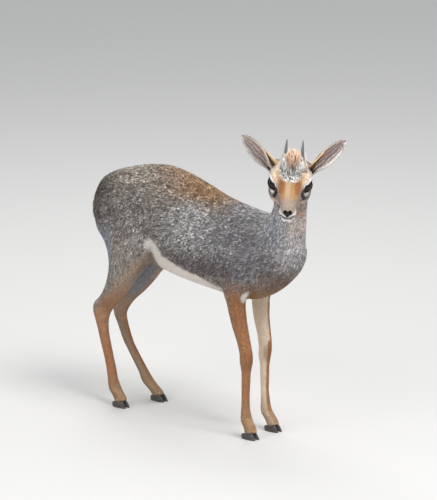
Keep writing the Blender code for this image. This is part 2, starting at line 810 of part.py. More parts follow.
def make_claw(foot, inner, name):
    """One of a foot's two claws: a pointed toe, a round heel and a flat sole on the floor."""
    side = 1 if HOOF_Y[foot] > 0 else -1
    outward = -side if inner else side
    rings = []
    for rise in (0.0, 0.35, 0.7, 1.0):
        ring = []
        shrink = 1 - CLAW_SHORTENING * rise
        for i in range(20):
            angle = 2 * math.pi * i / 20
            along = math.cos(angle)
            across = math.sin(angle) * (1 - TOE_NARROWING * max(along, 0) ** 1.5)
            x = HOOF_X[foot] - CLAW_LEAN * rise + along * shrink * HOOF_LENGTH / 2
            half = (CLAW_WIDTH - CLAW_SLOT) / 2
            out = half * (1 + across * outward * (1 - CLAW_THINNING * rise))
            y = HOOF_Y[foot] + outward * (CLAW_SLOT / 2 + out)
            top = coronet((x - HOOF_X[foot]) / HOOF_LENGTH + 0.5) - GAP
            ring.append(Vector((x, y, rise * top)))
        rings.append(ring)
    return loft(name, rings)


def floor_room():
    """The room of the hooves: all that lies below the four coronets, as one cutter."""
    bm = bmesh.new()
    for foot, x in HOOF_X.items():
        y = HOOF_Y[foot]
        corners = []
        for dx in (-FOOT_ROOM, FOOT_ROOM):
            height = coronet(dx / HOOF_LENGTH + 0.5)
            for dy in (-FOOT_ROOM, FOOT_ROOM):
                corners.append(bm.verts.new((x + dx, y + dy, -0.02)))
                corners.append(bm.verts.new((x + dx, y + dy, height)))
        bmesh.ops.convex_hull(bm, input=corners)
    bmesh.ops.recalc_face_normals(bm, faces=bm.faces)
    return as_object(bm, "floor_room")


# Parting

def slab_above(name, point, normal, size):
    """A box that lies on a plane, on the side that the normal points to."""
    bm = bmesh.new()
    bmesh.ops.create_cube(bm, size=1.0)
    turn = Vector(normal).to_track_quat("Z", "Y").to_matrix().to_4x4()
    place = Matrix.Translation(point) @ turn @ Matrix.Diagonal((*size, 1.0))
    bmesh.ops.transform(bm, matrix=place @ Matrix.Translation((0, 0, 0.5)), verts=bm.verts)
    return as_object(bm, name)


def leg_region(name, stations, side):
    """Room round a leg, from below the floor up to where the leg meets the trunk."""
    rings = []
    for z, front, back, inner in spline(stations, 30):
        corners = ((front, inner), (front, OUTSIDE), (back, OUTSIDE), (back, inner))
        rings.append([Vector((x, side * y, z)) for x, y in corners])
    return loft(name, rings)


def paint(obj, colour, roughness):
    """Gives a node a material of its own."""
    material = bpy.data.materials.new(obj.name)
    material.use_nodes = True
    shader = material.node_tree.nodes["Principled BSDF"]
    shader.inputs["Base Color"].default_value = (*colour, 1.0)
    shader.inputs["Roughness"].default_value = roughness
    shader.inputs["Metallic"].default_value = 0.0
    obj.data.materials.clear()
    obj.data.materials.append(material)


def main():
    """Builds every node and stands the model on its origin."""
    for obj in list(bpy.data.objects):
        bpy.data.objects.remove(obj, do_unlink=True)

    nodes = {}
    body = make_body()
    head = make_head()

    remove(part_off(body, slab_above("head_side", THROAT, HEAD_SIDE, (0.30, 0.30, 0.20)), "cut_head"))
    room = floor_room()
    boolean(body, room, "DIFFERENCE")
    remove(room)
    region = slab_above("neck_side", NECK_BASE, NECK_SIDE, (0.20, 0.20, 0.30))
    nodes["neck"] = part_off(body, region, "neck")
    for side, hand in ((-1, "right"), (1, "left")):
        region = leg_region("thigh", THIGH_ROOM, side)
        nodes["hindleg_" + hand] = part_off(body, region, "hindleg_" + hand)
        region = leg_region("arm", ARM_ROOM, side)
        nodes["foreleg_" + hand] = part_off(body, region, "foreleg_" + hand)
    nodes["torso"] = keep_largest(body)

    region = slab_above("head_side", THROAT + HEAD_SIDE * GAP, HEAD_SIDE, (0.30, 0.30, 0.20))
    boolean(head, region, "INTERSECT")
    remove(region)
    head_skin = grown(head, GAP)
    for side, hand in ((-1, "right"), (1, "left")):
        ear = make_ear(side, "ear_" + hand)
        boolean(ear, head_skin, "DIFFERENCE")
        nodes["ear_" + hand] = keep_largest(ear)
        horn = make_horn(side, "horn_" + hand)
        room = grown(horn, GAP * 1.2)
        boolean(head, room, "DIFFERENCE")
        remove(room)
        nodes["horn_" + hand] = horn
        nodes["eye_" + hand] = make_eye(side, "eye_" + hand)
    remove(head_skin)
    cut_eyes(head)
    cut_face(head)
    cut_mouth(head)
    nodes["head"] = keep_largest(head)

    torso_skin = grown(nodes["torso"], GAP)
    tail = make_tail()
    boolean(tail, torso_skin, "DIFFERENCE")
    remove(torso_skin)
    nodes["tail"] = keep_largest(tail)

    for foot in HOOF_X:
        for inner in (True, False):
            name = "hoof_" + foot + ("_inner" if inner else "_outer")
            nodes[name] = make_claw(foot, inner, name)

    collection = bpy.data.collections.new("dik_dik")
    bpy.context.scene.collection.children.link(collection)
    for name, obj in nodes.items():
        obj.name = name
        move(obj, Matrix.Translation(-MIDDLE))
        for used in list(obj.users_collection):
            used.objects.unlink(obj)
        collection.objects.link(obj)
        family = name.split("_")[0]
        paint(obj, *FINISH[family])


main()
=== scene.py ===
"""The look of the dik-dik: skin, coat, face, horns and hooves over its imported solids."""

import math

import bmesh
import bpy
import numpy as np
from mathutils import Euler, Matrix, Vector
from mathutils.bvhtree import BVHTree


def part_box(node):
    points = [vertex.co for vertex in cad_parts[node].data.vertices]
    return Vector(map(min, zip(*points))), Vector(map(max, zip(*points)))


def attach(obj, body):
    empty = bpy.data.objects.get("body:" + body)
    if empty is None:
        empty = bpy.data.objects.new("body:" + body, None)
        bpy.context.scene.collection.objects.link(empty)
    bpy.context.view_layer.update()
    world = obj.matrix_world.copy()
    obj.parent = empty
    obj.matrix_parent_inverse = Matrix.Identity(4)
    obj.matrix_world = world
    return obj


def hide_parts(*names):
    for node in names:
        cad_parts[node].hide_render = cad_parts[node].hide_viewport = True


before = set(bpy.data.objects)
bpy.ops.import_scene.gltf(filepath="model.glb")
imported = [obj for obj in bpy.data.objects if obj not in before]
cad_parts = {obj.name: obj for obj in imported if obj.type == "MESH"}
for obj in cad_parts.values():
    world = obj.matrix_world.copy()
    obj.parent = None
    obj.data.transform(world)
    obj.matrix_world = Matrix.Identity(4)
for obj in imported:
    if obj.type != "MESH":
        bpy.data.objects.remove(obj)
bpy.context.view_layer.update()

SIDES = ((1, "left"), (-1, "right"))

# Head frame: midway between the eyes, nose along +X, left along +Y, as the solids have it
HEAD_PLACE = Vector((0.212, -0.0285, 0.450))
HEAD_TURN = Euler((math.radians(-5), math.radians(28.5), math.radians(-52)), "XYZ")
HEAD = Matrix.Translation(HEAD_PLACE) @ HEAD_TURN.to_matrix().to_4x4()
HEAD_AXES = np.array(HEAD.to_3x3())

# Head sections from the occiput to the nose: place, top, bottom, half width
SKULL = (
    (-0.055, 0.005, -0.010, 0.014),
    (-0.045, 0.020, -0.025, 0.024),
    (-0.030, 0.030, -0.034, 0.0305),
    (-0.015, 0.031, -0.036, 0.033),
    (0.000, 0.029, -0.034, 0.0315),
    (0.015, 0.023, -0.030, 0.0245),
    (0.030, 0.016, -0.0255, 0.0180),
    (0.045, 0.011, -0.0215, 0.0142),
    (0.060, 0.007, -0.0170, 0.0115),
    (0.071, 0.001, -0.0090, 0.0070),
)
# Soft masses of the head on both sides: place, half sizes
HEAD_MASSES = (
    ((-0.013, 0.0210, -0.020), (0.027, 0.0140, 0.0205)),
    ((-0.001, 0.0125, -0.0205), (0.028, 0.0116, 0.0112)),
    ((-0.007, 0.0232, 0.0118), (0.0190, 0.0126, 0.0088)),
    ((-0.031, 0.0226, 0.0065), (0.0140, 0.0115, 0.0145)),
    ((0.0580, 0.0062, -0.0076), (0.0125, 0.0080, 0.0078)),
    ((0.0655, 0.0044, 0.0012), (0.0070, 0.0052, 0.0056)),
    ((0.0170, 0.0190, -0.0060), (0.0080, 0.0050, 0.0090)),
    ((0.0550, 0.0038, -0.0180), (0.0150, 0.0070, 0.0058)),
)
# Neck sections where the head's skin overlaps the body's: height, front, back, middle, half width
NECK = (
    (0.392, 0.200, 0.156, 0.0112, 0.0200),
    (0.404, 0.2065, 0.1505, 0.0105, 0.0258),
    (0.420, 0.2090, 0.1525, 0.0080, 0.0266),
    (0.440, 0.2097, 0.1555, 0.0035, 0.0262),
    (0.456, 0.2085, 0.1610, -0.0005, 0.0232),
    (0.466, 0.2050, 0.1675, -0.0010, 0.0185),
    (0.473, 0.1990, 0.1750, -0.0010, 0.0110),
)

# Eyes and lids, in the head frame
EYE_PLACE = Vector((0.0000, 0.0246, 0.0015))
EYE_RADIUS = 0.0105
EYE_LOOK = Vector((0.56, 0.81, 0.13)).normalized()
EYE_GAP = 0.0003
SOCKET = EYE_RADIUS + EYE_GAP
LID = 0.0014
EYE_OPENING = (0.0100, 0.0076)

GLAND_TOP = np.array((0.0215, 0.0217, 0.0008))
GLAND_FOOT = np.array((0.0185, 0.0236, -0.0115))
GLAND_END = np.array((0.0152, 0.0247, -0.0155))
GLAND_REAR = np.array((0.0130, 0.0262, 0.0035))
GLAND_SLIT = (0.0062, 0.0011, 0.0011)
LASHES = 70
NOSTRIL_PLACE = Vector((0.0703, 0.0043, 0.0022))
NOSTRIL_SIZE = (0.0042, 0.0016, 0.0027)
MOUTH_FRONT = 0.0695
MOUTH_CORNER = 0.0400
MOUTH_HALF_SPAN = 0.0140
MOUTH_HEIGHT = -0.0136
MOUTH_CORNER_RISE = 0.0035
MOUTH_SLOPE = 0.10
MOUTH_HALF_GAP = 0.00042

CREST_PLACE = np.array((-0.010, 0.0020, 0.037))
CREST_SIZE = np.array((0.0185, 0.0182, 0.0300))
CREST_FOOT = (0.0172, 0.0160, 0)
CREST_LOCKS = 3000
CREST_CLUMPS = 110
HORN_ROOT = Vector((-0.0135, 0.0145, 0.0235))
HORN_TIP = Vector((-0.035, 0.0130, 0.0665))
HORN_SHIFT = Vector((0.0, 0.0022, 0.0))
HORN_RADIUS = 0.0050
HORN_TAPER = 0.72
HORN_HAIRS = 900
EAR_ROOT = Vector((-0.032, 0.0275, 0.0030))
EAR_TIP = Vector((-0.050, 0.0838, 0.0586))
EAR_TILT = Vector((-0.0018, 0.0, 0.0018))
EAR_FACING = Vector((0.93, 0.30, 0.07))
EAR_SHELL = (
    (0.00, 0.0150, 2.75),
    (0.14, 0.0172, 2.45),
    (0.30, 0.0200, 1.85),
    (0.46, 0.0204, 1.42),
    (0.62, 0.0184, 1.18),
    (0.78, 0.0136, 1.02),
    (0.91, 0.0070, 0.90),
    (1.00, 0.0016, 0.80),
)

EAR_ROWS, EAR_COLUMNS = 56, 33
EAR_LOCK_HAIRS = 900

# Planes between head, neck and trunk, and the trunk's middle in Y
THROAT = np.array((0.204, -0.0185, 0.406))
HEAD_SIDE = np.array((0.46, -0.36, 0.81)) / np.linalg.norm((0.46, -0.36, 0.81))
NECK_BASE = np.array((0.139, 0.0125, 0.3485))
NECK_SIDE = np.array((0.58, 0.0, 0.81)) / np.linalg.norm((0.58, 0.0, 0.81))
MIDDLE_Y = 0.0125

# Upper edge of the white belly
BELLY_AT = (-0.1000, -0.0738, -0.0638, -0.0419, -0.0141, 0.0187, 0.0417, 0.0750, 0.1000, 0.2000)
BELLY_HEIGHT = (0.3180, 0.3078, 0.2882, 0.2796, 0.2702, 0.2653, 0.2542, 0.2460, 0.2400, 0.2380)

TORSO, NECK_PART, HEAD_PART, TAIL, HIND_RIGHT, HIND_LEFT, FORE_RIGHT, FORE_LEFT = range(8)
HIND_TUFTS = (0.0056, 0.00118, 0.0012, 440000)
FORE_TUFTS = (0.0052, 0.00110, 0.0010, 460000)
SHIN_TUFTS = (0.0042, 0.0008, 0.0004, 720000)
MUZZLE_TUFTS = (0.0024, 0.00052, 0.00025, 1150000)
# For each part: node, coat piece, slot, depth of the coat, and its tufts' length, width, lift
# and number per square metre
PARTS = (
    ("torso", "coat_trunk", "body_coat", 0.0019, (0.0056, 0.00122, 0.0014, 440000)),
    ("neck", "coat_neck", "body_coat", 0.0017, (0.0052, 0.00112, 0.0012, 470000)),
    ("head", "coat_head", "face_coat", 0.0004, (0.0038, 0.00072, 0.0005, 850000)),
    ("tail", "coat_tail", "body_coat", 0.0020, (0.0110, 0.00130, 0.0015, 380000)),
    ("hindleg_right", "coat_hindleg_right", "leg_coat", 0.0017, HIND_TUFTS),
    ("hindleg_left", "coat_hindleg_left", "leg_coat", 0.0017, HIND_TUFTS),
    ("foreleg_right", "coat_foreleg_right", "leg_coat", 0.0013, FORE_TUFTS),
    ("foreleg_left", "coat_foreleg_left", "leg_coat", 0.0013, FORE_TUFTS),
)
FLESH = [row[0] for row in PARTS]
KNEE_HEIGHTS = (0.17, 0.25)
MOST_TRIANGLES = 190000

# The photograph's view, and lamps: name, place behind the camera's way, to its right and up, size
# and power
VIEW_AZIMUTH, VIEW_ELEVATION = 42, 16
VIEW_TARGET = Vector((0.113, 0.0125, 0.0))
VIEW_DISTANCE = 8.0
VIEW_LENS = 345.6
AIM_LEFT, AIM_UP = 0.0717, 0.3075
SKY_STRENGTH = 0.76
LAMPS = (
    ("key", 1.4, 1.0, 2.2, 1.5, 89),
    ("fill", 1.8, -1.7, 0.9, 1.8, 27),
    ("rim", -1.5, -0.4, 2.2, 1.2, 18),
)

# Remeshes of the skin
BODY_GROWTH = 0.0006
BODY_VOXEL = 0.00268
HEAD_VOXEL = 0.00100
RELAX_ROUNDS = 14


# Meshes

def link(mesh, name):
    """An object for a mesh, in the scene."""
    obj = bpy.data.objects.new(name, mesh)
    bpy.context.scene.collection.objects.link(obj)
    return obj


def from_bmesh(bm, name):
    """Ends a bmesh as an object."""
    mesh = bpy.data.meshes.new(name)
    bm.to_mesh(mesh)
    bm.free()
    return link(mesh, name)


def join(bm, part):
    """Adds a closed solid to a bmesh and frees it."""
    mesh = bpy.data.meshes.new("part")
    part.to_mesh(mesh)
    part.free()
    bm.from_mesh(mesh)
    bpy.data.meshes.remove(mesh)


def rework(mesh, operation):
    """Runs a bmesh operation on all faces of a mesh."""
    bm = bmesh.new()
    bm.from_mesh(mesh)
    operation(bm, faces=bm.faces)
    bm.to_mesh(mesh)
    bm.free()


def read(items, key, width=1, kind=np.int32):
    """One property of all points, edges or faces of a mesh."""
    values = np.empty(len(items) * width, kind)
    items.foreach_get(key, values)
    return values


def modify(obj, kind, **settings):
    """Makes one modifier part of an object's mesh."""
    modifier = obj.modifiers.new(kind, kind)
    for key, value in settings.items():
        setattr(modifier, key, value)
    graph = bpy.context.evaluated_depsgraph_get()
    mesh = bpy.data.meshes.new_from_object(obj.evaluated_get(graph))
    obj.modifiers.clear()
    obj.data = mesh
    return obj


def boolean(obj, other, operation, solver="EXACT"):
    """Joins or cuts two closed solids and removes the second."""
    modify(obj, "BOOLEAN", operation=operation, object=other, solver=solver)
    bpy.data.objects.remove(other, do_unlink=True)


def remesh(obj, voxel):
    """One closed skin round overlapping solids."""
    return modify(obj, "REMESH", mode="VOXEL", voxel_size=voxel)


def arrays(mesh):
    """Points, triangles and normals of a mesh."""
    mesh.calc_loop_triangles()
    points = read(mesh.vertices, "co", 3, np.float32)
    tris = read(mesh.loop_triangles, "vertices", 3)
    normals = read(mesh.vertex_normals, "vector", 3, np.float32)
    return (points.reshape(-1, 3).astype(float), tris.reshape(-1, 3),
            normals.reshape(-1, 3).astype(float))


def edges_of(mesh):
    """Both ends of every edge."""
    ends = read(mesh.edges, "vertices", 2)
    return ends[0::2], ends[1::2]


def tree_of(mesh):
    """A mesh's triangles, to be hit by rays."""
    return BVHTree.FromPolygons(*[part.tolist() for part in arrays(mesh)[:2]])


def averaged(values, first, second, rounds, share=1.0):
    """Values at the points of a mesh, evened out along its edges."""
    count = len(values)
    near = np.bincount(first, minlength=count) + np.bincount(second, minlength=count)
    near = np.maximum(near, 1)
    for _ in range(rounds):
        total = np.empty_like(values)
        for axis in range(values.shape[1]):
            total[:, axis] = np.bincount(first, values[second, axis], count)
            total[:, axis] += np.bincount(second, values[first, axis], count)
        values = values + share * (total / near[:, None] - values)
    return values


def set_points(mesh, points):
    """Moves the points of a mesh."""
    mesh.vertices.foreach_set("co", points.astype(np.float32).ravel())
    mesh.update()


def relax(obj, rounds):
    """Evens a surface without shrinking it."""
    points = arrays(obj.data)[0]
    first, second = edges_of(obj.data)
    for _ in range(rounds):
        points = averaged(points, first, second, 1, 0.50)
        points = averaged(points, first, second, 1, -0.53)
    set_points(obj.data, points)
    return obj


def mesh_of(name, points, tris):
    """A smooth object from arrays of points and triangles."""
    mesh = bpy.data.meshes.new(name)
    mesh.vertices.add(len(points))
    mesh.vertices.foreach_set("co", np.asarray(points, np.float32).ravel())
    mesh.loops.add(tris.size)
    mesh.loops.foreach_set("vertex_index", tris.astype(np.int32).ravel())
    mesh.polygons.add(len(tris))
    mesh.polygons.foreach_set("loop_start", np.arange(len(tris), dtype=np.int32) * 3)
    mesh.polygons.foreach_set("use_smooth", np.ones(len(tris), bool))
    mesh.update(calc_edges=True)
    return link(mesh, name)


def in_order(obj):
    """Sorts points and faces by place, as a Boolean gives them in a new order on each run."""
    mesh = obj.data
    points = arrays(mesh)[0]
    order = np.lexsort(points.T)
    rank = np.empty(len(order), int)
    rank[order] = np.arange(len(order))
    faces = []
    for face in mesh.polygons:
        ring = rank[list(face.vertices)].tolist()
        first = ring.index(min(ring))
        faces.append(ring[first:] + ring[:first])
    obj.data = bpy.data.meshes.new(mesh.name)
    obj.data.from_pydata(points[order].tolist(), [], sorted(faces))


def colour_points(mesh, colours, grizzle=0.0):
    """Gives each point of a mesh its coat colour, with its grizzle as the fourth value."""
    layer = mesh.color_attributes.new(name="coat", type="FLOAT_COLOR", domain="POINT")
    rgba = np.empty((len(colours), 4), np.float32)
    rgba[:, :3] = colours
    rgba[:, 3] = np.clip(grizzle, 0, 1)
    layer.data.foreach_set("color", rgba.ravel())


def set_bake_map(mesh, places):
    """Fills the OFBake map from a place for each corner."""
    layer = mesh.uv_layers.new(name="OFBake")
    layer.data.foreach_set("uv", places.astype(np.float32).ravel())


def spline(stations, count):
    """Rows on a smooth curve through the stations, evenly spaced by their first value."""
    rows = np.array(stations, dtype=float)
    at = rows[:, 0]
    slopes = np.gradient(rows, at, axis=0)
    where = np.linspace(at[0], at[-1], count)
    left = np.clip(np.searchsorted(at, where, side="right") - 1, 0, len(at) - 2)
    span = (at[left + 1] - at[left])[:, None]
    t = (where - at[left])[:, None] / span
    start = (1 + 2 * t) * (1 - t) ** 2 * rows[left] + t * (1 - t) ** 2 * span * slopes[left]
    end = t * t * (3 - 2 * t) * rows[left + 1] + t * t * (t - 1) * span * slopes[left + 1]
    return start + end


def loft(rings):
    """A closed solid through rings of points, as a bmesh."""
    bm = bmesh.new()
    rows = [[bm.verts.new(point) for point in ring] for ring in rings]
    for low, high in zip(rows, rows[1:]):
        for i in range(len(low)):
            j = (i + 1) % len(low)
            bm.faces.new((low[i], low[j], high[j], high[i]))
    bm.faces.new(rows[0])
    bm.faces.new(rows[-1])
    bmesh.ops.recalc_face_normals(bm, faces=bm.faces)
    return bm


def oval(middle, across, up, half_across, half_up, power=2.0, sides=48):
    """Points round a rounded section that lies along two directions."""
    points = []
    for i in range(sides):
        angle = 2 * math.pi * i / sides
        c, s = math.cos(angle), math.sin(angle)
        u = math.copysign(abs(c) ** (2 / power), c) * half_across
        v = math.copysign(abs(s) ** (2 / power), s) * half_up
        points.append(Vector(middle) + Vector(across) * u + Vector(up) * v)
    return points


def ellipsoid(middle, half_sizes, turn=None, segments=40):
    """A smooth egg shape, as a bmesh."""
    bm = bmesh.new()
    bmesh.ops.create_uvsphere(bm, u_segments=segments, v_segments=segments // 2, radius=1.0)
    matrix = Matrix.Translation(middle) @ (turn or Matrix()) @ Matrix.Diagonal((*half_sizes, 1.0))
    bmesh.ops.transform(bm, matrix=matrix, verts=bm.verts)
    return bm


def mirrored(point, side):
    """A point of the animal's left side, or the same point of its right side."""
    return Vector((point[0], point[1] * side, point[2]))


def horn_ends(side):
    """Root and tip of a horn."""
    return mirrored(HORN_ROOT, side) + HORN_SHIFT, mirrored(HORN_TIP, side) + HORN_SHIFT


def ear_ends(side):
    """Root and tip of an ear, the left one held a little higher."""
    return mirrored(EAR_ROOT, side), mirrored(EAR_TIP, side) + EAR_TILT * side


def in_head(points):
    """Places of the scene in the head frame."""
    return (points - np.array(HEAD_PLACE)) @ HEAD_AXES


def from_head(points):
    """Places of the head frame in the scene."""
    return points @ HEAD_AXES.T + np.array(HEAD_PLACE)


def fold(places):
    """Places with the right side laid over the left."""
    folded = places.copy()
    folded[:, 1] = np.abs(folded[:, 1])
    return folded


def unit(vectors):
    """Vectors of length one."""
    return vectors / np.maximum(np.linalg.norm(vectors, axis=1), 1e-12)[:, None]


def on_surface(ways, normals):
    """Ways laid flat on a surface, of length one."""
    return unit(ways - normals * np.sum(ways * normals, axis=1)[:, None])


def crosses(points, tris):
    """The cross product of two edges of each triangle."""
    corners = points[tris]
    return np.cross(corners[:, 1] - corners[:, 0], corners[:, 2] - corners[:, 0])


def blend(values, weight, other):
    """Values moved towards others by a weight."""
    return values + np.asarray(weight)[..., None] * (np.asarray(other) - values)


def ramp(value, low, high):
    """A straight rise from 0 to 1 between two values, for a single number."""
    return min(max((value - low) / (high - low), 0.0), 1.0)


def step(value, low, high):
    """A smooth rise from 0 to 1 between two values."""
    t = np.clip((value - low) / (high - low), 0, 1)
    return t * t * (3 - 2 * t)


# Skin

def body_skin():
    """Trunk, neck, legs and tail in one skin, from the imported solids."""
    bm = bmesh.new()
    for name in FLESH:
        if name == "head":
            continue
        start = len(bm.verts)
        bm.from_mesh(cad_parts[name].data)
        bm.verts.ensure_lookup_table()
        bmesh.ops.remove_doubles(bm, verts=bm.verts[start:], dist=0.00001)
    bm.normal_update()
    for vert in bm.verts:
        vert.co += vert.normal * BODY_GROWTH
    return relax(remesh(from_bmesh(bm, "body_skin"), BODY_VOXEL), RELAX_ROUNDS)


def eye_turn(side):
    """Turns Z to the way the eye looks, with X along the slit of the lids."""
    look = mirrored(EYE_LOOK, side)
    slit = Vector((1.0, 0.0, -0.25))
    slit = (slit - look * slit.dot(look)).normalized()
    return Matrix((slit, look.cross(slit), look)).transposed()


def lid_edge(side, height, steps=64):
    """The almond of the lids' edge at a height along the eye's look."""
    points = []
    turn = eye_turn(side)
    for i in range(steps):
        angle = 2 * math.pi * i / steps
        c, s = math.cos(angle), math.sin(angle)
        x = EYE_OPENING[0] * (c + 0.16 * max(c, 0) ** 6)
        y = EYE_OPENING[1] * s * abs(s) ** 0.32
        points.append(mirrored(EYE_PLACE, side) + turn @ Vector((x, y, height(x, y))))
    return points


def head_skin():
    """Skull, cheeks, brows, lids, lips and the top of the neck in one skin."""
    skull = [oval((x, 0, (top + bottom) / 2), (0, 1, 0), (0, 0, 1), half, (top - bottom) / 2, 2.2)
             for x, top, bottom, half in spline(SKULL, 60)]
    parts = [loft(skull)]
    for side, _ in SIDES:
        parts += [ellipsoid(mirrored(middle, side), sizes) for middle, sizes in HEAD_MASSES]
        parts.append(ellipsoid(mirrored(EYE_PLACE, side), (SOCKET + LID + 0.0006,) * 3))
    turn = HEAD.to_3x3().inverted()
    along, across = turn @ Vector((1, 0, 0)), turn @ Vector((0, 1, 0))
    neck = [oval(HEAD.inverted() @ Vector(((front + back) / 2, y, z)), along, across,
                 (front - back) / 2, half, 2.1) for z, front, back, y, half in spline(NECK, 24)]
    parts.append(loft(neck))
    bm = bmesh.new()
    for part in parts:
        part.transform(HEAD)
        join(bm, part)
    return relax(remesh(from_bmesh(bm, "head_skin"), HEAD_VOXEL), RELAX_ROUNDS)


def cut_face(skin):
    """Opens the eye sockets and lids, the nostrils, the glands and the line of the mouth."""
    def cut(cutter):
        cutter.transform(HEAD)
        boolean(skin, from_bmesh(cutter, "cutter"), "DIFFERENCE")

    for side, _ in SIDES:
        cut(ellipsoid(mirrored(EYE_PLACE, side), (SOCKET,) * 3, segments=48))
        cut(loft([lid_edge(side, lambda x, y, h=h: h) for h in (0.002, 0.008, 0.020)]))
        lean = Euler((math.radians(28 * side), math.radians(-20), 0)).to_matrix().to_4x4()
        cut(ellipsoid(mirrored(NOSTRIL_PLACE, side), NOSTRIL_SIZE, lean, 28))
        slit = mirrored(GLAND_FOOT - GLAND_TOP, side)
        turn = slit.to_track_quat("X", "Y").to_matrix().to_4x4()
        cut(ellipsoid(mirrored((GLAND_FOOT + GLAND_TOP) / 2, side), GLAND_SLIT, turn, 28))
    half = Vector((0, 0, MOUTH_HALF_GAP))
    rings = []
    for point, out in mouth_line(41):
        inner, outer = point - out * 0.0034, point + out * 0.004
        rings.append([inner - half, outer - half, outer + half, inner + half])
    cut(loft(rings))


def mouth_line(count):
    """Points between the lips, from corner to corner, each with the way out of the muzzle."""
    line = []
    for i in range(count):
        turn = math.pi * (i / (count - 1) - 0.5)
        x = MOUTH_CORNER + (MOUTH_FRONT - MOUTH_CORNER) * math.cos(turn)
        y = MOUTH_HALF_SPAN * math.copysign(abs(math.sin(turn)) ** 0.8, turn)
        rise = MOUTH_CORNER_RISE * abs(math.sin(turn)) ** 3
        z = MOUTH_HEIGHT + rise - MOUTH_SLOPE * (MOUTH_FRONT - x)
        out = Vector((math.cos(turn), math.sin(turn) * 1.6, 0)).normalized()
        line.append((Vector((x, y, z)), out))
    return line


def part_of(points):
    """Which part of the body each place belongs to."""
    x, y, z = points[:, 0], points[:, 1], points[:, 2]
    part = np.full(len(points), TORSO)
    part[(points - NECK_BASE) @ NECK_SIDE > 0] = NECK_PART
    left = y > MIDDLE_Y
    hind = (x < -0.085) & (z < 0.300) & ((z < 0.262) | (np.abs(y - MIDDLE_Y) > 0.020))
    part[hind & left], part[hind & ~left] = HIND_LEFT, HIND_RIGHT
    fore = (x > 0.03) & (x < 0.175) & (z < 0.272) & ((z < 0.236) | (np.abs(y - MIDDLE_Y) > 0.028))
    part[fore & left], part[fore & ~left] = FORE_LEFT, FORE_RIGHT
    part[(x < -0.2445) & (z < 0.386) & (np.abs(y - MIDDLE_Y) < 0.011)] = TAIL
    part[(points - THROAT) @ HEAD_SIDE > 0] = HEAD_PART
    return part


def coat_depth(points):
    """How far the skin lies inside the coat's surface, less on the lower legs."""
    part = part_of(points)
    depth = np.array([row[3] for row in PARTS])[part]
    leg = part >= HIND_RIGHT
    low = step(points[:, 2], *KNEE_HEIGHTS)
    depth[leg] = 0.0006 + (depth[leg] - 0.0006) * low[leg]
    return depth


def lie_of_coat(points, part):
    """The way the hair points at each place, before it is laid on the skin."""
    x, y, z = points[:, 0], points[:, 1], points[:, 2]
    side = np.sign(y - MIDDLE_Y)
    flow = np.tile((-1.0, 0.0, -0.22), (len(points), 1))
    flow[:, 2] -= 0.45 * (step(np.abs(y - MIDDLE_Y), 0.015, 0.05) * step(z, 0.40, 0.30))
    flow[part == NECK_PART] = (-0.35, 0.0, -1.0)
    flow[part >= TAIL] = (-0.12, 0.0, -1.0)
    place = in_head(points)
    local = np.tile((-1.0, 0.0, 0.0), (len(points), 1))
    local[:, 2] = -0.45 * step(-place[:, 2], -0.004, 0.020)
    local[:, 1] = np.sign(place[:, 1]) * 0.35 * step(np.abs(place[:, 1]), 0.002, 0.015)
    head = part == HEAD_PART
    flow[head] = (local @ HEAD_AXES.T)[head]
    thigh = (part == TORSO) & (x < -0.09) & (z < 0.37)
    flow[thigh] = (-0.55, 0.0, -0.85)
    flow[:, 1] += 0.12 * side * (part == TORSO) * step(z, 0.36, 0.42)
    return flow


# Markings, with some painted shade and sunlight, the same on skin and coat. Colours are linear red,
# green, blue

TAN = (0.42, 0.200, 0.095)
BELLY_WHITE = (0.93, 0.86, 0.80)
NOSE_BLACK = (0.011, 0.010, 0.011)
LID_BLACK = (0.014, 0.010, 0.009)
LIP_BLACK = (0.020, 0.017, 0.017)

# Soft spots on the trunk and neck: share, middle, half sizes, edge, colour, grizzle
BACK_SPOTS = (
    (1.00, (-0.170, 0, 0.420), (0.100, 0.065, 0.055), 0.4, (0.340, 0.300, 0.262), 0.90),
    (1.00, (-0.125, 0, 0.425), (0.055, 0.050, 0.035), 0.5, (0.355, 0.312, 0.262), 0.90),
    # An ochre saddle over the back, partly the coat's own colour and partly a painted patch of
    # sunlight.
    (1.00, (-0.020, 0, 0.405), (0.084, 0.052, 0.054), 0.6, (0.295, 0.182, 0.103), 0.85),
    (0.55, (-0.075, 0.03, 0.385), (0.045, 0.030, 0.045), 0.5, (0.330, 0.285, 0.245), 0.80),
)
FLANK_SPOTS = (
    # Painted shade: a darker grey over the withers.
    (0.70, (0.095, 0.010, 0.380), (0.045, 0.035, 0.022), 0.5, (0.215, 0.207, 0.213), 0.80),
    (0.60, (-0.160, 0.060, 0.345), (0.060, 0.040, 0.050), 0.5, (0.215, 0.188, 0.170), 0.85),
    # Painted sunlight: a paler patch on the middle of the flank.
    (1.00, (0.000, 0.055, 0.345), (0.060, 0.045, 0.040), 0.5, (0.400, 0.385, 0.375), 0.85),
    (0.75, (0.085, 0.055, 0.325), (0.050, 0.050, 0.050), 0.5, (0.270, 0.262, 0.275), 0.75),
)
THROAT_SPOTS = (
    (0.80, (0.203, 0.004, 0.3760), (0.018, 0.024, 0.0240), 0.6, (0.66, 0.565, 0.51), 0.40),
    (0.85, (0.207, 0.006, 0.4100), (0.018, 0.024, 0.0130), 0.4, (0.45, 0.360, 0.31), 0.35),
    (0.70, (0.206, 0.004, 0.3955), (0.014, 0.018, 0.0042), 0.6, (0.70, 0.430, 0.29), 0.30),
)


class Paint:
    """Colour, grizzle and bareness at many places, laid on in soft layers."""

    def __init__(self, count, colour, grizzle):
        self.colour = np.tile(np.array(colour, float), (count, 1))
        self.grizzle = np.full(count, float(grizzle))
        self.bare = np.zeros(count)

    def lay(self, weight, colour, grizzle, bare=0.0):
        self.colour = blend(self.colour, weight, colour)
        self.grizzle += weight * (grizzle - self.grizzle)
        self.bare += weight * (bare - self.bare)

    def spots(self, places, *rows):
        """Each row: share, middle, half sizes, edge, colour, grizzle."""
        for share, middle, radii, edge, colour, grizzle in rows:
            self.lay(share * blob(places, middle, radii, edge), colour, grizzle)


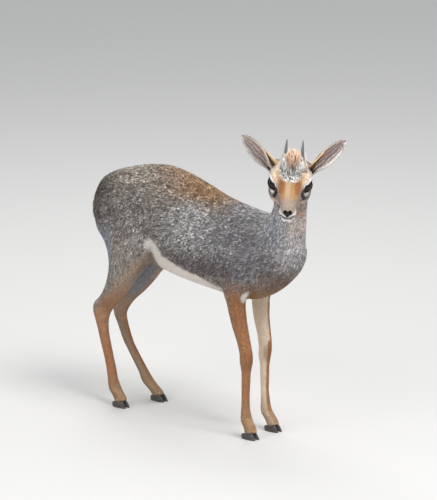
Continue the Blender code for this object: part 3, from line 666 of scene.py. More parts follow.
def blob(points, middle, radii, edge=0.4):
    """How far each place is inside a soft ellipsoid, from 0 to 1."""
    far = np.linalg.norm((points - middle) / np.array(radii), axis=1)
    return 1 - step(far, 1 - edge, 1 + edge)


def capsule(points, start, end, radius, edge=0.3):
    """How far each place is inside a soft rod, from 0 to 1."""
    axis = end - start
    share = np.clip((points - start) @ axis / (axis @ axis), 0, 1)
    far = np.linalg.norm(points - start - share[:, None] * axis, axis=1) / radius
    return 1 - step(far, 1 - edge, 1 + edge)


def paint_trunk(paint, points, folded, normals, part):
    """Back, flanks, shoulders, neck, chest and belly, with painted shade on the rump, withers and
    lower flank and painted sunlight on the flank and saddle.
    """
    x, z = folded[:, 0], folded[:, 2]
    paint.spots(folded, *BACK_SPOTS)
    # Painted shade: the hind end of the rump darkened.
    rump_shade = 0.88 * step(x, -0.150, -0.212) * step(z, 0.425, 0.375)
    paint.lay(rump_shade, (0.082, 0.068, 0.057), 0.8)
    paint.spots(folded, *FLANK_SPOTS)
    # Painted shade: the lower flank darker just above the white belly.
    low = step(z, 0.315, 0.285) * step(x, -0.07, -0.02) * (part == TORSO)
    paint.lay(0.75 * low, (0.176, 0.150, 0.144), 0.7)
    paint.spots(folded, (1.00, (0.130, 0.050, 0.315), (0.045, 0.050, 0.055), 0.5,
                         (0.270, 0.255, 0.262), 0.65))
    neck = step((points - NECK_BASE) @ NECK_SIDE, -0.02, 0.03)
    paint.lay(neck, (0.462, 0.466, 0.490), 0.60)
    nape = neck * step(z - 1.2 * (x - 0.17), 0.385, 0.41)
    paint.lay(0.6 * nape, (0.36, 0.33, 0.30), 0.65)
    front = neck * step(normals[:, 0], 0.25, 0.80)
    paint.lay(0.8 * front, (0.53, 0.505, 0.505), 0.50)
    paint.spots(points, *THROAT_SPOTS)
    paint.spots(folded, (0.60, (0.186, 0, 0.314), (0.028, 0.045, 0.034), 0.5,
                         (0.46, 0.43, 0.43), 0.60))
    chest = step(x, 0.115, 0.165) * step(z, 0.305, 0.265)
    paint.lay(0.85 * chest, (0.300, 0.215, 0.172), 0.40)
    belly_line = np.interp(x, BELLY_AT, BELLY_HEIGHT)
    belly = step(z, belly_line + 0.0035, belly_line - 0.0035)
    belly = belly * step(x, 0.094, 0.078) * step(x, -0.098, -0.086)
    paint.lay(belly, BELLY_WHITE, 0.08)
    under = step(-normals[:, 2], 0.30, 0.75) * (part == TORSO)
    under = under * step(x, 0.0, -0.05) * step(x, -0.21, -0.18)
    paint.lay(0.9 * under * step(z, 0.315, 0.300), BELLY_WHITE, 0.08)
    breast = step(z, 0.272, 0.242) * step(x, 0.082, 0.104)
    paint.lay(breast, (0.43, 0.26, 0.150), 0.22)


def paint_legs(paint, folded, inward, ahead, part):
    """Thighs, legs, the white spots beside them and the knees."""
    x, z = folded[:, 0], folded[:, 2]
    leg = (part >= HIND_RIGHT).astype(float)
    hind = (x < -0.05).astype(float)
    fore = leg * (1 - hind)
    thigh = hind * step(x, -0.09, -0.12) * step(z, 0.345, 0.285)
    paint.lay(0.8 * thigh, (0.425, 0.380, 0.345), 0.55)
    rear = -0.166 + 0.15 * np.clip(z - 0.30, -0.1, 0.1) - 0.25 * np.clip(0.26 - z, 0, 1)
    blue = thigh * step(x, rear + 0.007, rear - 0.011) * step(z, 0.215, 0.245)
    paint.lay(0.88 * blue, (0.375, 0.410, 0.495), 0.40)
    elbow = 0.8 * fore * step(z, 0.300, 0.262) * step(x, 0.045, 0.080)
    paint.lay(elbow, (0.335, 0.240, 0.190), 0.45)
    line = 0.2785 + 0.96 * (x + 0.1069)
    lower = leg * hind * step(z, line + 0.015, line - 0.015) * step(x, -0.086, -0.100)
    front_edge = np.maximum(step(x, 0.070, 0.092), step(z, 0.234, 0.226))
    lower = lower + fore * step(z, 0.262, 0.236) * front_edge
    hue = np.tile(TAN, (len(x), 1))
    hue = blend(hue, 0.6 * fore * step(ahead, 0.3, -0.3), (0.44, 0.280, 0.165))
    hue = blend(hue, hind * step(z, 0.10, 0.16), (0.455, 0.250, 0.142))
    hue = blend(hue, hind * step(z, 0.180, 0.235), (0.55, 0.405, 0.295))
    paint.lay(lower, hue, 0.16)
    # Painted shade in the bend of the hock.
    hock_shade = blob(folded, (-0.196, 0.043, 0.182), (0.007, 0.020, 0.016), 0.6) * hind
    paint.lay(0.35 * hock_shade, (0.22, 0.12, 0.065), 0.15)
    facing_in = step(inward, 0.10, 0.50)
    pale = facing_in * step(ahead, 0.96, 0.80)
    # On the far foreleg the pale of the inner side spreads over most of the upper leg: partly the
    # leg's own pale colour, partly a painted highlight where light falls on that leg.
    far_pale_and_highlight = np.where(z > 0.155, step(inward, -0.35, 0.15), step(inward, 0.22, 0.52))
    pale = np.where(part == FORE_LEFT, far_pale_and_highlight, pale) * (1 - hind)
    paint.lay(0.92 * lower * pale, (0.86, 0.715, 0.56), 0.08)
    paint.lay(0.55 * lower * hind * facing_in, (0.42, 0.345, 0.275), 0.12)
    inner = hind * leg * facing_in * step(z, 0.168, 0.200)
    paint.lay(0.8 * inner, (0.355, 0.368, 0.405), 0.25)
    groin = 0.2885 + 1.34 * (x + 0.095)
    shaded = hind * step(z, groin + 0.004, groin - 0.004)
    shaded = shaded * step(x, -0.150, -0.130) * step(x, -0.084, -0.096)
    paint.lay(0.85 * shaded, (0.34, 0.275, 0.235), 0.25)
    knee = fore * blob(folded, (0.118, 0, 0.135), (0.022, 1.0, 0.016)) * step(ahead, 0.1, 0.6)
    paint.lay(0.6 * knee, (0.33, 0.155, 0.07), 0.10)
    paint.lay(leg * step(z, 0.075, 0.022) * 0.75, (0.40, 0.262, 0.148), 0.10)
    paint.lay(leg * step(z, 0.018, 0.011), (0.41, 0.300, 0.195), 0.08)
    at_elbow = leg * blob(folded, (0.112, 0.0375, 0.2440), (0.0088, 0.0078, 0.0108))
    paint.lay(at_elbow, (0.94, 0.90, 0.85), 0.05)
    at_flank = blob(folded, (-0.0890, 0.0520, 0.3030), (0.0125, 0.015, 0.0100))
    paint.lay(at_flank, (0.88, 0.84, 0.80), 0.05)


def paint_body(points, normals, part):
    """Markings of trunk, neck, legs and tail, with painted shade and sunlight on trunk and legs."""
    place = points - np.array((0.0, MIDDLE_Y, 0.0))
    folded = fold(place)
    inward = -np.sign(place[:, 1]) * normals[:, 1]
    paint = Paint(len(points), (0.293, 0.272, 0.256), 0.85)
    paint_trunk(paint, points, folded, normals, part)
    paint_legs(paint, folded, inward, normals[:, 0], part)
    paint.lay((part == TAIL).astype(float), (0.36, 0.30, 0.245), 0.6)
    return paint


def around_eye(folded):
    """How far places lie from the eye, where the lids' edge is 1, and the places in its frame."""
    local = (folded - np.array(EYE_PLACE)) @ np.array(eye_turn(1))
    return np.hypot(local[:, 0] / EYE_OPENING[0], local[:, 1] / EYE_OPENING[1]), local


def paint_face(paint, place, folded, height):
    """Crown, stripes, bridge and muzzle; height is 1 along the top of the skull, -1 below it."""
    x, out = folded[:, 0], folded[:, 1]
    upper = step(height, 0.35, 0.80)
    paint.lay(step(x, -0.022, -0.040), (0.34, 0.30, 0.265), 0.55)
    below = step(height, -0.55, -0.9) * step(x, -0.038, -0.014)
    paint.lay(below, (0.70, 0.62, 0.57), 0.15)
    paint.lay(below * step(x, 0.01, -0.02), (0.60, 0.46, 0.38), 0.25)
    paint.spots(folded, (0.60, (0.024, 0.0150, -0.0250), (0.022, 0.0110, 0.009), 0.6,
                         (0.62, 0.37, 0.24), 0.20))
    paint.lay(upper * step(x, 0.040, 0.015) * step(x, -0.035, -0.02), (0.82, 0.66, 0.51), 0.30)
    paint.spots(folded, (0.80, (0.007, 0.0175, 0.0200), (0.012, 0.0060, 0.010), 0.4,
                         (0.60, 0.39, 0.215), 0.22))
    bridge = step(height, 0.20, 0.62) * step(x, 0.002, 0.014) * step(x, 0.056, 0.040)
    paint.lay(bridge * step(out, 0.0215, 0.0160), (0.415, 0.240, 0.115), 0.2)
    paint.spots(folded, (0.90, (0.021, 0.0126, 0.0145), (0.015, 0.0052, 0.013), 0.4,
                         (0.315, 0.135, 0.048), 0.20))
    sway = blob(place * (1, 0, 0), (0.030, 0, 0), (0.020, 1, 1), 0.8)
    bend = np.abs(place[:, 1] + 0.0026 * sway)
    streak = step(height, 0.5, 0.8) * step(x, 0.004, 0.016) * step(bend, 0.0052, 0.0022)
    paint.lay(0.95 * streak, (0.50, 0.355, 0.230), 0.12)
    muzzle = step(x, 0.040, 0.054)
    paint.lay(muzzle, (0.335, 0.265, 0.207), 0.2)
    paint.lay(muzzle * step(height, 0.3, -0.3), (0.30, 0.245, 0.215), 0.2)
    paint.spots(folded, (0.60, (0.047, 0.0021, 0.0100), (0.010, 0.0014, 0.006), 0.4,
                         (0.40, 0.22, 0.17), 0.05))
    edge = np.hypot(out, 0.95 * np.maximum(x - 0.0010, 0))
    patch = step(x, -0.014, -0.010) * step(edge, 0.0192, 0.0160) * upper
    paint.lay(patch * step(x, 0.0205, 0.0175), (0.53, 0.505, 0.49), 1.9)
    paint.spots(folded, (1.00, (-0.014, 0.0195, 0.0260), (0.009, 0.0070, 0.008), 0.4,
                         (0.90, 0.80, 0.67), 0.20))


def paint_eye(paint, folded):
    """The white ring, the scent gland and the black lids."""
    gap, local = around_eye(folded)
    ring = step(local[:, 2], -0.002, 0.004) * step(gap, 1.92, 1.55)
    inner = step(local[:, 1] * 0.75 - local[:, 0] * 0.35, 0.0055, -0.0005)
    paint.lay(ring * (0.15 + 0.80 * inner), (0.92, 0.88, 0.87), 0.06)
    paint.spots(folded, (0.80, (0.0065, 0.0290, -0.0105), (0.0060, 0.0070, 0.0036), 0.4,
                         (0.96, 0.88, 0.83), 0.16))
    for start, end, radius, edge, colour, bare in (
            (GLAND_TOP, GLAND_END, 0.0050, 0.25, (0.012, 0.010, 0.010), 0.0),
            (GLAND_TOP, GLAND_REAR, 0.0040, 0.25, (0.014, 0.011, 0.010), 0.0),
            (GLAND_TOP - (0.0010, 0, 0), GLAND_END, 0.0037, 0.35, (0.009, 0.007, 0.008), 1.0),
            (GLAND_TOP, GLAND_REAR, 0.0027, 0.40, LID_BLACK, 1.0)):
        paint.lay(capsule(folded, start, end, radius, edge), colour, 0.0, bare)
    wide = 1.10 + 0.24 * inner
    lids = step(gap, wide + 0.05, wide - 0.05) * step(local[:, 2], -0.001, 0.001)
    paint.lay(lids, LID_BLACK, 0.0)
    rim = step(gap, 1.15, 1.04) * step(local[:, 2], 0.0, 0.002)
    paint.lay(rim, (0.020, 0.014, 0.012), 0.0, 1.0)


def paint_mouth(paint, place, out):
    """White lips and chin, the black nose pad with its cleft, and the line of the mouth with a
    painted shadow along it.
    """
    x, z = place[:, 0], place[:, 2]
    paint.lay(step(x, 0.048, 0.056) * step(z, -0.001, -0.005), (0.72, 0.68, 0.665), 0.12)
    paint.lay(step(x, 0.026, 0.042) * step(z, -0.0125, -0.0150), (0.86, 0.82, 0.80), 0.08)
    depth = 0.711 * z - 0.703 * x
    lobe = np.hypot((out - 0.0038) / 0.0034, (depth + 0.0484) / 0.0040)
    middle = np.hypot(out / 0.0039, (depth + 0.0510) / 0.0046)
    pad = step(np.minimum(lobe, middle), 1.06, 0.94) * step(x, 0.058, 0.061)
    paint.lay(pad, NOSE_BLACK, 0.0, 1.0)
    cleft = step(out, 0.0013, 0.0007) * step(x, 0.062, 0.064)
    cleft = cleft * step(z, 0.0, -0.002) * step(z, -0.0142, -0.0130)
    paint.lay(cleft, NOSE_BLACK, 0.0, 1.0)
    line = np.array([point[:] for point, _ in mouth_line(25)])
    gap = np.min(np.linalg.norm(place[:, None, :] - line[None, :, :], axis=2), axis=1)
    paint.lay(step(x, 0.041, 0.047) * step(gap, 0.0024, 0.0015), LIP_BLACK, 0.0, 1.0)
    # A dark band along the upper lip's lower edge, as it lies at the camera's angle: the black edge
    # of the lip together with painted shadow in the gap between the lips.
    edge = np.abs(depth + 0.0577 - 0.0060 * (out / 0.0125) ** 1.5)
    rim = step(edge, 0.0013, 0.0008) * step(x, 0.055, 0.060) * step(out, 0.0130, 0.0110)
    paint.lay(rim, LIP_BLACK, 0.0, 1.0)


def paint_head(points):
    """Markings of the head, with a painted shadow along the mouth."""
    place = in_head(points)
    folded = fold(place)
    rows = np.array(SKULL)
    top, bottom = (np.interp(place[:, 0], rows[:, 0], rows[:, k]) for k in (1, 2))
    height = (place[:, 2] - (top + bottom) / 2) / ((top - bottom) / 2)
    paint = Paint(len(points), (0.315, 0.255, 0.228), 0.50)
    paint_face(paint, place, folded, height)
    paint_eye(paint, folded)
    paint_mouth(paint, place, folded[:, 1])
    return paint


def markings_and_painted_light(points, normals):
    """Colour, grizzle and bareness at places on the skin, painted shade and sunlight included."""
    body = paint_body(points, normals, part_of(points))
    above = (points - THROAT) @ HEAD_SIDE
    head = np.nonzero(above > -0.008)[0]
    if len(head):
        face = paint_head(points[head])
        share = step(above[head], -0.008, 0.008)
        body.colour[head] = blend(body.colour[head], share, face.colour)
        body.grizzle[head] += share * (face.grizzle - body.grizzle[head])
        body.bare[head] = share * face.bare
    return body


# Unwrap of the skin: flat charts by part and by the side of the part that a face looks to

class Charts:
    """Places of the skin's faces and of the roots of tufts on one square."""

    def __init__(self, points, tris, part):
        corners = points[tris]
        normal = crosses(points, tris)
        axis = np.argmax(np.abs(normal), axis=1)
        sign = normal[np.arange(len(tris)), axis] < 0
        self.chart = part * 6 + axis * 2 + sign
        self.low, self.place, sizes = {}, {}, {}
        for chart in np.unique(self.chart):
            flat = corners[self.chart == chart].reshape(-1, 3)[:, self.plane(chart)]
            self.low[chart] = flat.min(0)
            sizes[chart] = flat.max(0) - flat.min(0) + 0.004
        order = sorted(sizes, key=lambda c: -sizes[c][1])
        self.scale = 2.0
        while not self.pack(order, sizes):
            self.scale *= 0.97

    @staticmethod
    def plane(chart):
        return [k for k in range(3) if k != chart % 6 // 2]

    def pack(self, order, sizes):
        """Sets the charts in rows, and says whether they fit."""
        left, low, row = 0.002, 0.002, 0.0
        for chart in order:
            wide, high = sizes[chart] * self.scale
            if left + wide > 0.998:
                left, low, row = 0.002, low + row, 0.0
            self.place[chart] = np.array((left, low))
            left += wide
            row = max(row, high)
            if low + row > 0.998 or wide > 0.99:
                return False
        return True

    def at(self, points, chart):
        """Places on the square for points that lie on faces of the given charts."""
        result = np.empty((len(points), 2))
        for c in np.unique(chart):
            mask = chart == c
            flat = points[mask][:, self.plane(c)] - self.low[c]
            result[mask] = self.place[c] + (flat + 0.001) * self.scale
        return result


# Tufts

def tuft_faces(count, levels):
    """Triangles of many tufts, each a triangle at every level and a point at the tip."""
    faces = [(0, 1, 2)]
    for k in range(levels - 1):
        for j in range(3):
            a, b = 3 * k + j, 3 * k + (j + 1) % 3
            faces += [(b, a, a + 3), (b, a + 3, b + 3)]
    top = 3 * (levels - 1)
    faces += [(top + (j + 1) % 3, top + j, 3 * levels) for j in range(3)]
    starts = np.arange(count) * (3 * levels + 1)
    return (np.array(faces)[None] + starts[:, None, None]).reshape(-1, 3)


def tuft_arrays(root, normal, flow, length, width, lift, levels=(0.0, 0.5)):
    """Points, triangles and share of length for many thin tapered tufts."""
    across = unit(np.cross(flow, normal))
    points = np.empty((len(root), 3 * len(levels) + 1, 3))
    for k, t in enumerate(levels):
        rise = lift * (1 - (1 - t) ** 2) - 0.0003
        middle = root + flow * (length * t)[:, None] + normal * rise[:, None]
        half = (width * (0.5 - 0.16 * t))[:, None]
        points[:, 3 * k] = middle - across * half
        points[:, 3 * k + 1] = middle + across * half
        points[:, 3 * k + 2] = middle + normal * half * 0.9
    points[:, -1] = root + flow * length[:, None] + normal * lift[:, None]
    return (points.reshape(-1, 3), tuft_faces(len(root), len(levels)),
            np.append(np.repeat(levels, 3), 1.0))


def strands(ends, width, draw, levels=(0.0, 0.3, 0.65)):
    """Curved, tapered locks from their roots, knees and tips, as tuft_arrays gives them."""
    roots, knees, tips = ends
    points = np.empty((len(roots), 3 * len(levels) + 1, 3))
    line = tips - roots
    spin = draw.uniform(0, 2 * math.pi, len(roots))
    first = unit(np.cross(line, np.array((0.3, 0.8, 0.1))))
    second = unit(np.cross(line, first))
    for k, t in enumerate(levels):
        middle = roots * (1 - t) ** 2 + knees * 2 * t * (1 - t) + tips * t * t
        for j in range(3):
            angle = spin + 2 * math.pi * j / 3
            ring = first * np.cos(angle)[:, None] + second * np.sin(angle)[:, None]
            points[:, 3 * k + j] = middle + ring * (width * (1 - 0.5 * t))[:, None]
    points[:, -1] = tips
    return (points.reshape(-1, 3), tuft_faces(len(roots), len(levels)),
            np.append(np.repeat(levels, 3), 1.0))


def tuft_objects(name, made, colour, grizzle, spots):
    """Tufts as joined meshes, each below a size, with their colours and OFBake places."""
    points, tris, along = made
    corners = len(along)
    count = len(points) // corners
    parts = max(1, math.ceil(len(tris) / MOST_TRIANGLES))
    per_tuft = len(tris) // count
    grizzle, spots = np.broadcast_to(grizzle, count), np.broadcast_to(spots, (count, 2))
    across = np.tile((-0.4, 0.4, 0.0), corners // 3 + 1)[:corners]
    spread = np.stack((along - 0.5, across), axis=1) * 0.003
    for k in range(parts):
        a, b = count * k // parts, count * (k + 1) // parts
        piece_tris = tris[a * per_tuft:b * per_tuft] - a * corners
        obj = mesh_of(f"{name}_{k + 1}" if parts > 1 else name,
                      points[a * corners:b * corners], piece_tris)
        colour_points(obj.data, colour[a:b].reshape(-1, 3), np.repeat(grizzle[a:b], corners))
        places = (spots[a:b, None, :] + spread[None]).reshape(-1, 2)
        set_bake_map(obj.data, places[piece_tris.ravel()])
        obj.data.materials.append(COAT)
        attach(obj, "root")


def tuft_colours(colour, grizzle, along, draw):
    """Colour along each tuft: darker at the root as painted shade between the hairs, banded and of
    its own shade where grizzled.
    """
    count = len(colour)
    shade = 1 + draw.uniform(-0.62, 0.62, count) * np.minimum(grizzle, 1.5)
    band = draw.uniform(-0.40, 0.40, count) * np.minimum(grizzle, 1)
    # Painted shade: every tuft darker towards its root, where the coat shades it.
    level = (0.86 + 0.20 * along)[None] * np.maximum(shade, 0.16)[:, None]
    level = level * (1 + band[:, None] * np.cos(along * 3.6)[None])
    warm = 1 + draw.normal(0, 0.03, count)
    result = colour[:, None, :] * level[:, :, None]
    result[:, :, 0] *= warm[:, None]
    result[:, :, 2] /= warm[:, None]
    return np.clip(result, 0.004, 0.95)


def scatter(points, tris, density, draw):
    """Places spread over triangles: face and weights of its three corners."""
    area = np.linalg.norm(crosses(points, tris), axis=1) / 2
    want = area * density
    count = np.floor(want + draw.uniform(0, 1, len(want))).astype(int)
    face = np.repeat(np.arange(len(tris)), count)
    a, b = draw.uniform(0, 1, (2, len(face)))
    over = a + b > 1
    a[over], b[over] = 1 - a[over], 1 - b[over]
    return face, np.column_stack((1 - a - b, a, b))


def flecks(points, size, draw):
    """Soft random values, about as many above as below 0, that change over a distance."""
    table = draw.normal(0, 1, 4096)
    place = points / size
    cell = np.floor(place).astype(np.int64)
    share = step(place - cell, 0, 1)
    total = np.zeros(len(points))
    for corner in range(8):
        offset = np.array([(corner >> k) & 1 for k in range(3)])
        weight = np.prod(np.where(offset, share, 1 - share), axis=1)
        key = (cell + offset) @ np.array((73856093, 19349663, 83492791))
        total += weight * table[key % 4096]
    return total


def tuft_sizes(points, part):
    """Length, width, lift and number per square metre of the tufts at each place."""
    sizes = np.array([row[4] for row in PARTS])[part]
    low = (1 - step(points[:, 2], *KNEE_HEIGHTS)) * (part >= HIND_RIGHT)
    sizes = blend(sizes, low, SHIN_TUFTS)
    muzzle = step(in_head(points)[:, 0], 0.005, 0.045) * (part == HEAD_PART)
    return blend(sizes, muzzle, MUZZLE_TUFTS)


def make_coat(skin, charts, part, flow):
    """Tufts over the whole skin."""
    draw = np.random.default_rng(11)
    points, tris, normals = arrays(skin.data)
    normals = unit(averaged(normals, *edges_of(skin.data), 3))
    sizes = tuft_sizes(points[tris].mean(1), part)
    face, weight = scatter(points, tris, sizes[:, 3], draw)
    root, normal, lie = (np.einsum("nk,nkj->nj", weight, values[tris[face]])
                         for values in (points, normals, flow))
    normal = unit(normal)
    paint = markings_and_painted_light(root, normal)
    keep = (paint.bare < 0.35) & (root[:, 2] > 0.0095)
    from_eye = np.linalg.norm(fold(in_head(root)) - np.array(EYE_PLACE), axis=1)
    index = np.nonzero(keep & (from_eye > EYE_RADIUS + 0.0009))[0]
    order = index[np.argsort(part[face[index]] * 10.0 + root[index, 0], kind="stable")]
    face, root, normal, lie = face[order], root[order], normal[order], lie[order]
    home = part[face]
    colour, grizzle = paint.colour[order], paint.grizzle[order]
    fleck = flecks(root, 0.0019, draw) + 0.10 * flecks(root, 0.0070, draw)
    colour = colour * np.exp(0.78 * np.minimum(grizzle, 1) * fleck - 0.12 * grizzle)[:, None]
    across = unit(np.cross(normal, lie))
    outward = np.sum(lie * normal, axis=1)
    outward = np.where(home == TAIL, np.minimum(outward, 0), outward)
    lie = unit(lie - normal * outward[:, None])
    lie = unit(lie + across * draw.normal(0, 0.22, len(root))[:, None])
    length, width, lift = (sizes[face, k] * draw.uniform(*span, len(root))
                           for k, span in enumerate(((0.75, 1.25), (0.75, 1.2), (0.55, 1.15))))
    fuller = blob(fold(root - (0, MIDDLE_Y, 0)), (-0.089, 0.052, 0.303), (0.014, 0.016, 0.012))
    length *= 1 + 0.6 * fuller
    lift *= 1 + fuller
    spots = charts.at(root, charts.chart[face])
    where = part_of(root + draw.normal(0, 0.005, root.shape))
    where = np.where((home == TAIL) | (where == TAIL), home, where)
    for label, (_, name, slot, _, _) in enumerate(PARTS):
        mask = where == label
        levels = (0.0,) if label >= HIND_RIGHT else (0.0, 0.5)
        made = tuft_arrays(*(values[mask] for values in (root, normal, lie, length, width, lift)),
                           levels)
        colours = tuft_colours(colour[mask], grizzle[mask], made[2], draw)
        tuft_objects(name, made, colours, grizzle[mask], spots[mask])


# Materials

def material(name, roughness, specular):
    """A principled material, with its node tree and shader."""
    made = bpy.data.materials.new(name)
    made.use_nodes = True
    shader = made.node_tree.nodes["Principled BSDF"]
    shader.inputs["Roughness"].default_value = roughness
    shader.inputs["Specular IOR Level"].default_value = specular
    return made, made.node_tree, shader


def feed(tree, made, inputs):
    """Gives a node's inputs a value each, or the output of another node."""
    for socket, value in inputs.items():
        if isinstance(value, bpy.types.NodeSocket):
            tree.links.new(value, made.inputs[socket])
        else:
            made.inputs[socket].default_value = value


def node(tree, kind, inputs=None, **settings):
    """The outputs of a new shader node."""
    made = tree.nodes.new(kind)
    for key, value in settings.items():
        setattr(made, key, value)
    feed(tree, made, inputs or {})
    return made.outputs


def noise(tree, place, scale, detail):
    """The values of a noise texture."""
    inputs = {"Vector": place, "Scale": scale, "Detail": detail}
    return node(tree, "ShaderNodeTexNoise", inputs)["Fac"]


def maths(tree, operation, *values):
    """The result of a maths node on values and outputs."""
    return node(tree, "ShaderNodeMath", dict(enumerate(values)), operation=operation)[0]


def coat_material(name, roughness, grain_depth):
    """Hair or bare skin: the painted coat colours, shade and sunlight included, flecked where they
    are grizzled, with a fine bump.
    """
    made, tree, shader = material(name, roughness, 0.22)
    coat = node(tree, "ShaderNodeAttribute", attribute_name="coat")
    place = node(tree, "ShaderNodeTexCoord")["Object"]
    grain = noise(tree, place, 1100.0, 2.0)
    fleck = noise(tree, place, 420.0, 1.0)
    level = node(tree, "ShaderNodeMapRange", {"Value": grain, "To Min": 0.72, "To Max": 1.28})
    strong = maths(tree, "MULTIPLY", maths(tree, "SUBTRACT", fleck, 0.5), coat["Alpha"])
    whole = maths(tree, "MULTIPLY", maths(tree, "MULTIPLY_ADD", strong, 3.2, 1.0), level["Result"])
    mix = node(tree, "ShaderNodeVectorMath", {0: coat["Color"], "Scale": whole}, operation="SCALE")
    bump = node(tree, "ShaderNodeBump",
                {"Strength": 0.35, "Distance": grain_depth, "Height": grain})
    feed(tree, shader, {"Base Color": mix["Vector"], "Normal": bump["Normal"]})
    return made


def noise_material(name, dark, light, scale, roughness, stretch=(1, 1, 1), strength=0.3):
    """A material of two colours mixed by stretched noise, with a bump."""
    made, tree, shader = material(name, roughness, 0.5)
    place = node(tree, "ShaderNodeTexCoord")["Object"]
    mapping = node(tree, "ShaderNodeMapping", {"Vector": place, "Scale": stretch})
    grain = noise(tree, mapping["Vector"], scale, 4.0)
    mix = tree.nodes.new("ShaderNodeValToRGB")
    for stop, position, colour in zip(mix.color_ramp.elements, (0.3, 0.72), (dark, light)):
        stop.position = position
        stop.color = (*colour, 1)
    feed(tree, mix, {"Fac": grain})
    bump = node(tree, "ShaderNodeBump", {"Strength": strength, "Distance": 0.0004, "Height": grain})
    feed(tree, shader, {"Base Color": mix.outputs["Color"], "Normal": bump["Normal"]})
    return made


def eye_material():
    """Wet dark eye, in the colours of its points."""
    made, tree, shader = material("eye", 0.07, 0.30)
    coat = node(tree, "ShaderNodeAttribute", attribute_name="coat")
    feed(tree, shader, {"Base Color": coat["Color"]})
    return made


def finish(obj, *materials):
    """Smooth faces and materials for a piece that rides on the body."""
    obj.data.materials.clear()
    for made in materials:
        obj.data.materials.append(made)
    obj.data.polygons.foreach_set("use_smooth", np.ones(len(obj.data.polygons), bool))
    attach(obj, "root")
    return obj


# Face pieces

def make_eyes():
    """Dark glossy eyeballs, with the black edge of the lids and lashes round each."""
    draw = np.random.default_rng(5)
    for side, hand in SIDES:
        turn = eye_turn(side).to_4x4()
        centre = mirrored(EYE_PLACE, side)
        ball = ellipsoid(centre, (EYE_RADIUS,) * 3, turn, 64)
        slit, up, look = (np.array(turn.to_3x3().col[k]) for k in range(3))
        local = np.array([v.co[:] for v in ball.verts]) - np.array(centre)
        ball.transform(HEAD)
        eye = from_bmesh(ball, "eyeball_" + hand)
        ahead = local @ look / EYE_RADIUS
        far = np.sqrt(np.clip(1 - ahead ** 2, 0, 1))
        pupil = np.hypot(local @ slit / 0.0062, local @ up / 0.0042)
        brown = step(local @ up * side / EYE_RADIUS, -0.2, 0.7)[:, None]
        colours = np.array((0.018, 0.009, 0.007)) + brown * (0.050, 0.016, 0.007)
        colours = blend(colours, step(far, 0.74, 0.86) * (ahead > 0), (0.006, 0.004, 0.004))
        colours = blend(colours, step(pupil, 1.05, 0.9) * (ahead > 0), (0.002, 0.002, 0.003))
        colour_points(eye.data, colours)
        finish(eye, EYE)
        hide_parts("eye_" + hand)
        radius = SOCKET + 0.0005
        path = lid_edge(side, lambda x, y: math.sqrt(max(radius ** 2 - x * x - y * y, 1e-9)))
        above = [(np.array(point - centre) @ up) * side < 0 for point in path]
        rim = tube(path, [0.00050 if high else 0.00034 for high in above], 8)
        rim.transform(HEAD)
        obj = finish(from_bmesh(rim, "lid_rim_" + hand), RIM)
        make_lashes(hand, np.array([point[:] for point in path]), np.array(centre), up * side, draw)


def make_lashes(hand, edge, centre, down, draw):
    """Short lashes along the upper lid."""
    above = [i for i in range(len(edge)) if (edge[i] - centre) @ down < -0.002]
    start = edge[draw.choice(above, LASHES)] + draw.normal(0, 0.0002, (LASHES, 3))
    away = unit(start - centre)
    tip = start + away * draw.uniform(0.0022, 0.0040, LASHES)[:, None] + (-0.0008, 0, 0.0012)
    ends = [from_head(group) for group in (start, start + away * 0.0018, tip)]
    made = strands(ends, np.full(LASHES, 0.00012), draw)
    tint = np.tile((0.02, 0.015, 0.014), (LASHES, len(made[2]), 1))
    tuft_objects("lashes_" + hand, made, tint, 0.0, (0.5, 0.5))


def tube(path, radii, sides):
    """A round tube along a loop of points, as a bmesh."""
    bm = bmesh.new()
    rows = []
    for i, point in enumerate(path):
        along = (path[(i + 1) % len(path)] - path[i - 1]).normalized()
        if rows:
            across = (across - along * across.dot(along)).normalized()
        else:
            across = along.orthogonal().normalized()
        up = along.cross(across)
        rows.append([])
        for j in range(sides):
            angle = 2 * math.pi * j / sides
            place = point + across * radii[i] * math.cos(angle) + up * radii[i] * math.sin(angle)
            rows[-1].append(bm.verts.new(place))
    for low, high in zip(rows, rows[1:] + rows[:1]):
        for j in range(sides):
            k = (j + 1) % sides
            bm.faces.new((low[j], low[k], high[k], high[j]))
    bmesh.ops.recalc_face_normals(bm, faces=bm.faces)
    return bm


def make_horns():
    """Short straight horns with growth rings and a smooth tip."""
    for side, hand in SIDES:
        root, tip = horn_ends(side)
        axis = (tip - root).normalized()
        across = axis.cross(Vector((1, 0, 0))).normalized()
        rings = []
        for i in range(91):
            share = i / 90
            radius = HORN_RADIUS * (1 - share) ** HORN_TAPER + 0.0004
            if 0.08 < share < 0.50:
                radius += max(0.0, math.sin(share * 62)) ** 3 * 0.00042
            middle = root.lerp(tip, share)
            middle.x += 0.0022 * math.sin(math.pi * share)
            rings.append(oval(middle, across, across.cross(axis), radius, radius, 2, 28))
        horn = loft(rings)
        horn.transform(HEAD)
        obj = finish(from_bmesh(horn, "ringed_horn_" + hand), HORN)
        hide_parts("horn_" + hand)


